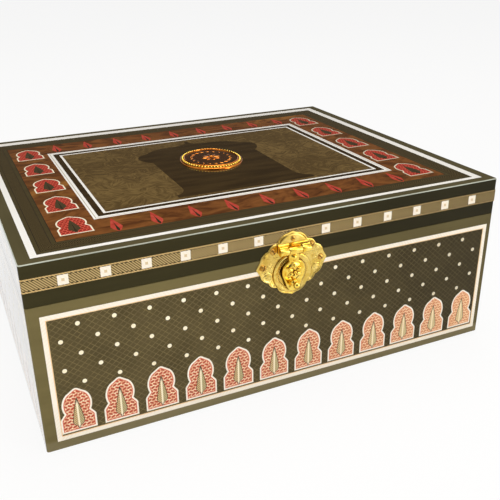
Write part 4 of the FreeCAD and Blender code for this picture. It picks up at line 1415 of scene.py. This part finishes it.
# %% Hasp flap
FLAP_BACK = 2.2
FLAP_GROUND = 2.9
FLAP_LIFTS = [(0, 0.5), (0.3, 0.3), (0.5, 0.1), (0.4, -0.2)]
FLAP_PLAY = 0.25
DOME_PROFILE = [(0, 1.1), (2.0, 1.0), (3.8, 0.7), (5.0, 0.25), (5.5, 0.0), (5.5, -0.2), (0, -0.2)]
BOSS_PROFILE = [(0, 1.5), (0.9, 1.35), (1.6, 0.8), (1.9, 0.3), (2.4, 0.2), (2.5, -0.2), (0, -0.2)]
BOSS_MIDDLE = 90.1
PETALS = 6
PETAL_ROOT = 0.9
FLAP_LEAVES = ((3.6, 1.7, (1.2, 75.6), 40, 0.9), (3.4, 1.6, (1.6, 72.6), -50, 0.8))
flap = bmesh.new()
relief(flap, both_halves(flap_half), FLAP_BACK, FLAP_LIFTS)
knuckle(flap, FLAP_PLAY - FLAP_KNUCKLE, FLAP_KNUCKLE - FLAP_PLAY)
turned(flap, DOME_PROFILE, (0, DISC_MIDDLE, FLAP_GROUND), 40)
for i in range(PETALS):
    angle = 90 + 360 * i / PETALS
    turn = math.radians(angle)
    root = (PETAL_ROOT * math.cos(turn), DISC_MIDDLE + PETAL_ROOT * math.sin(turn))
    leaf_relief(flap, 4.2, 2.8, root, angle, FLAP_GROUND + 0.3, 1.4)
bead(flap, (0, DISC_MIDDLE, FLAP_GROUND + 1.4), 1.15)
turned(flap, BOSS_PROFILE, (0, BOSS_MIDDLE, FLAP_GROUND), 24)
leaf_pairs(flap, FLAP_LEAVES, FLAP_GROUND - 0.2)
metal_piece(flap, "hasp_flap_leaf", sides["front"], ["bright_gilt"], "hasp_flap",
            ["hasp_flap"])

KNOB_PROFILE = [(0, 8.8), (0.9, 8.65), (1.7, 8.05), (2.15, 7.1), (2.15, 6.2), (1.7, 5.3), (1.15, 4.7),
                (1.1, 4.3), (1.7, 3.95), (2.0, 3.6), (2.1, 2.7), (0, 2.7)]
KNOB_MIDDLE = 73.5
knob = bmesh.new()
turned(knob, KNOB_PROFILE, (0, KNOB_MIDDLE, 0), 28)
metal_piece(knob, "hasp_knob_turned", sides["front"], ["bright_gilt"], "hasp_flap",
            ["hasp_knob"])
print("flap and knob made, disc radius", DISC_RADIUS, "mm")

# %% [markdown]
# ## Screws of the hasp
#
# Each screw has a domed head with a slot. The head is turned, two cutting planes mark the slot's sides,
# and the faces between them are pushed in. Screws never stop at the same turn, so each slot has its own.

# %% Hasp screws
HEAD_PROFILE = [(0, 0.9), (0.7, 0.84), (1.3, 0.6), (1.7, 0.25), (1.9, -0.1), (1.9, -0.5), (0, -0.5)]
SLOT_HALF = 0.28
SLOT_DEEP = 0.5
HEAD_OUT = 1.0


def slotted_head(mesh, x, height, slot_turn):
    """A round screw head on the plate's face."""
    before = set(mesh.verts)
    turned(mesh, HEAD_PROFILE, (0, 0, 0), 24)
    for place in (-SLOT_HALF, SLOT_HALF):
        made = made_since(mesh, before)
        edges = {edge for vert in made for edge in vert.link_edges}
        faces = {face for vert in made for face in vert.link_faces}
        whole = made + list(edges) + list(faces)
        bmesh.ops.bisect_plane(mesh, geom=whole, plane_co=(place, 0, 0), plane_no=(1, 0, 0))
    slot = {face for vert in made_since(mesh, before) for face in vert.link_faces
            if abs(face.calc_center_median().x) < SLOT_HALF and face.calc_center_median().z > 0.2}
    pushed = bmesh.ops.extrude_face_region(mesh, geom=list(slot))["geom"]
    bmesh.ops.delete(mesh, geom=list(slot), context="FACES")
    bmesh.ops.translate(mesh, verts=[item for item in pushed if isinstance(item, bmesh.types.BMVert)],
                        vec=(0, 0, -SLOT_DEEP))
    made = made_since(mesh, before)
    spin = Matrix.Rotation(math.radians(slot_turn), 3, "Z")
    bmesh.ops.rotate(mesh, verts=made, cent=(0, 0, 0), matrix=spin)
    bmesh.ops.translate(mesh, verts=made, vec=(x, height, HEAD_OUT))


def screw_heads(name, places, slot_turns, body, node):
    """The heads of one plate's screws."""
    heads = bmesh.new()
    for (x, height), slot_turn in zip(places, slot_turns):
        slotted_head(heads, x, height, slot_turn)
    metal_piece(heads, name, sides["front"], ["aged_gilt"], body, [node])


screw_heads("hasp_heads_lid", LID_SCREWS, (25, -50, 70), "lid", "hasp_lid_screws")
screw_heads("hasp_heads_base", BASE_SCREWS, (-20, 40), "base", "hasp_base_screws")
print("hasp screw heads:", len(LID_SCREWS) + len(BASE_SCREWS))

# %% [markdown]
# ## The medallion
#
# A plain oval ornament stands in the middle of the lid: a copper coloured frame with a row of gilt beads,
# a dark enamel field and a flower with a wreath of small leaves. The oval is a round form that is turned
# first and then stretched.

# %% Medallion
OVAL = 25.0 / 22.0
medal_low, medal_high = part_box("medallion_frame")
medal_y = (medal_low.y + medal_high.y) / 2 / MM
FRAME_PROFILE = [(22.0, 0.0), (22.0, 0.7), (21.7, 1.15), (21.2, 1.3), (20.8, 1.1), (19.6, 1.1), (19.3, 1.6),
                 (19.0, 2.2), (18.75, 2.35), (18.5, 2.2), (18.4, 1.4), (18.4, 0.0)]
FRAME_BEADS = 60
FRAME_BEAD_CIRCLE = 20.2
medal_frame = bmesh.new()
turned(medal_frame, FRAME_PROFILE, (0, medal_y, 0), 72, closed=True, stretch=OVAL)
plain_frame = set(medal_frame.faces)
bead_ring(medal_frame, FRAME_BEADS, FRAME_BEAD_CIRCLE, medal_y, 1.3, 0.85, OVAL)
for face in medal_frame.faces:
    face.material_index = 0 if face in plain_frame else 1
metal_piece(medal_frame, "medallion_beaded_frame", sides["top"], ["copper", "bright_gilt"], "lid",
            ["medallion_frame"])

FIELD_PROFILE = [(0, 1.95), (6, 1.92), (12, 1.85), (17, 1.7), (18.45, 1.6), (18.45, 0.1), (0, 0.1)]
medal_field = bmesh.new()
turned(medal_field, FIELD_PROFILE, (0, medal_y, 0), 64, stretch=OVAL)
metal_piece(medal_field, "medallion_enamel", sides["top"], ["enamel"], "lid",
            ["medallion_field"])
print("medallion: frame with", FRAME_BEADS, "beads, and field")

# %% Medallion flower
FLOWER_PETALS = 8
FLOWER_ROOT = 1.4
WREATH_LEAVES = 20
WREATH_CIRCLE = 12.4
WREATH_LEAN = 55
flower = bmesh.new()
for i in range(FLOWER_PETALS):
    angle = 360 * i / FLOWER_PETALS
    way = Vector((math.cos(math.radians(angle)), math.sin(math.radians(angle)))) * FLOWER_ROOT
    leaf_relief(flower, 5.6, 3.2, (way.x, medal_y + way.y), angle, 1.6, 0.8)
bead(flower, (0, medal_y, 2.0), 1.4)
for i in range(WREATH_LEAVES):
    angle = 360 * i / WREATH_LEAVES
    way = Vector((math.cos(math.radians(angle)), OVAL * math.sin(math.radians(angle)))) * WREATH_CIRCLE
    leaf_relief(flower, 3.8, 1.7, (way.x, medal_y + way.y), angle + WREATH_LEAN, 1.5, 0.55)
metal_piece(flower, "medallion_flower", sides["top"], ["copper"], "lid",
            ["medallion_rosette"])
print("flower:", FLOWER_PETALS, "petals and", WREATH_LEAVES, "leaves")

# %% [markdown]
# ## Velvet
#
# Boards covered with velvet line the base, and their upper edges stand a little above its rim to guide
# the lid. Velvet is wrapped over a board, so its upper edges are rounded: a cube takes the board's size
# and a bevel rounds them. The floor and the lid have soft pads, which swell towards their middle and are
# drawn in along their edges, so a fine grid is lifted by a formula and closed underneath.

# %% Linings
LINING_ROUND = 0.0009
for name in ("front_lining", "back_lining", "left_lining", "right_lining"):
    low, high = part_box(name)
    board = bmesh.new()
    bmesh.ops.create_cube(board, size=1.0)
    bmesh.ops.scale(board, verts=board.verts, vec=high - low)
    bmesh.ops.translate(board, verts=board.verts, vec=(low + high) / 2)
    upper = [edge for edge in board.edges if all(vert.co.z > high.z - LINING_ROUND for vert in edge.verts)]
    bmesh.ops.bevel(board, geom=upper, offset=LINING_ROUND, offset_type="OFFSET", affect="EDGES",
                    segments=5, profile=0.5, material=-1)
    smooth_faces(settle(board, "velvet_" + name, ["velvet"], "base", [name]))
print("four linings covered, edges rounded by", LINING_ROUND / MM, "mm")

# %% Pads
PAD_STEPS = (72, 58)
PAD_EDGE = 0.45
PAD_FLATNESS = 9


def swollen_pad(node, name, body, up):
    """A pad in the node's box that swells upwards, or downwards where up is -1."""
    low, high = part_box(node)
    half, middle = (high - low) / 2, (high + low) / 2
    seat = low.z if up > 0 else high.z
    thick = high.z - low.z
    pad = bmesh.new()
    bmesh.ops.create_grid(pad, x_segments=PAD_STEPS[0], y_segments=PAD_STEPS[1], size=1.0)
    for vert in pad.verts:
        swell = (1 - abs(vert.co.x) ** PAD_FLATNESS) * (1 - abs(vert.co.y) ** PAD_FLATNESS)
        vert.co.z = up * thick * (PAD_EDGE + (1 - PAD_EDGE) * math.sqrt(max(swell, 0.0)))
    rim = [edge for edge in pad.edges if edge.is_boundary]
    skirt = bmesh.ops.extrude_edge_only(pad, edges=rim)["geom"]
    for item in skirt:
        if isinstance(item, bmesh.types.BMVert):
            item.co.z = 0.0
    bmesh.ops.holes_fill(pad, edges=[edge for edge in pad.edges if edge.is_boundary], sides=0)
    bmesh.ops.recalc_face_normals(pad, faces=pad.faces[:])
    bmesh.ops.scale(pad, verts=pad.verts, vec=(half.x, half.y, 1))
    bmesh.ops.translate(pad, verts=pad.verts, vec=(middle.x, middle.y, seat))
    made = settle(pad, name, ["velvet"], body, [node])
    smooth_faces(made)


swollen_pad("floor_lining", "velvet_floor_pad", "base", 1)
swollen_pad("lid_pad", "velvet_lid_pad", "lid", -1)

# %% [markdown]
# ## Finishes on the CAD nodes
#
# The boards, rails, hinges and panels are shown as CAD made them. Each has a material slot in the part's
# record, and each slot has a finish here. Wood grain runs along a board, so the boards of the left and
# right sides take the finish whose grain runs from front to back.

# %% Finishes on the CAD nodes
slot_of = {row["node"]: row["material_slot"] for row in frame["record"]["subparts"]}
plain_finish = {
    "plain_wood": "plywood", "trellis_sheet": "trellis", "tan_band": "tan", "lid_sheet": "bronze",
    "velvet": "velvet", "gilt_brass": "gilt", "dark_enamel": "enamel",
}
for name, node in nodes.items():
    slot = slot_of[name]
    if slot in ("olive_lacquer", "dark_lacquer"):
        grain = "_y" if ("left" in name or "right" in name) else "_x"
        finish = slot.split("_")[0] + grain
    else:
        finish = plain_finish[slot]
    node.data.materials.clear()
    node.data.materials.append(finishes[finish])
print("CAD nodes dressed:", len(nodes))
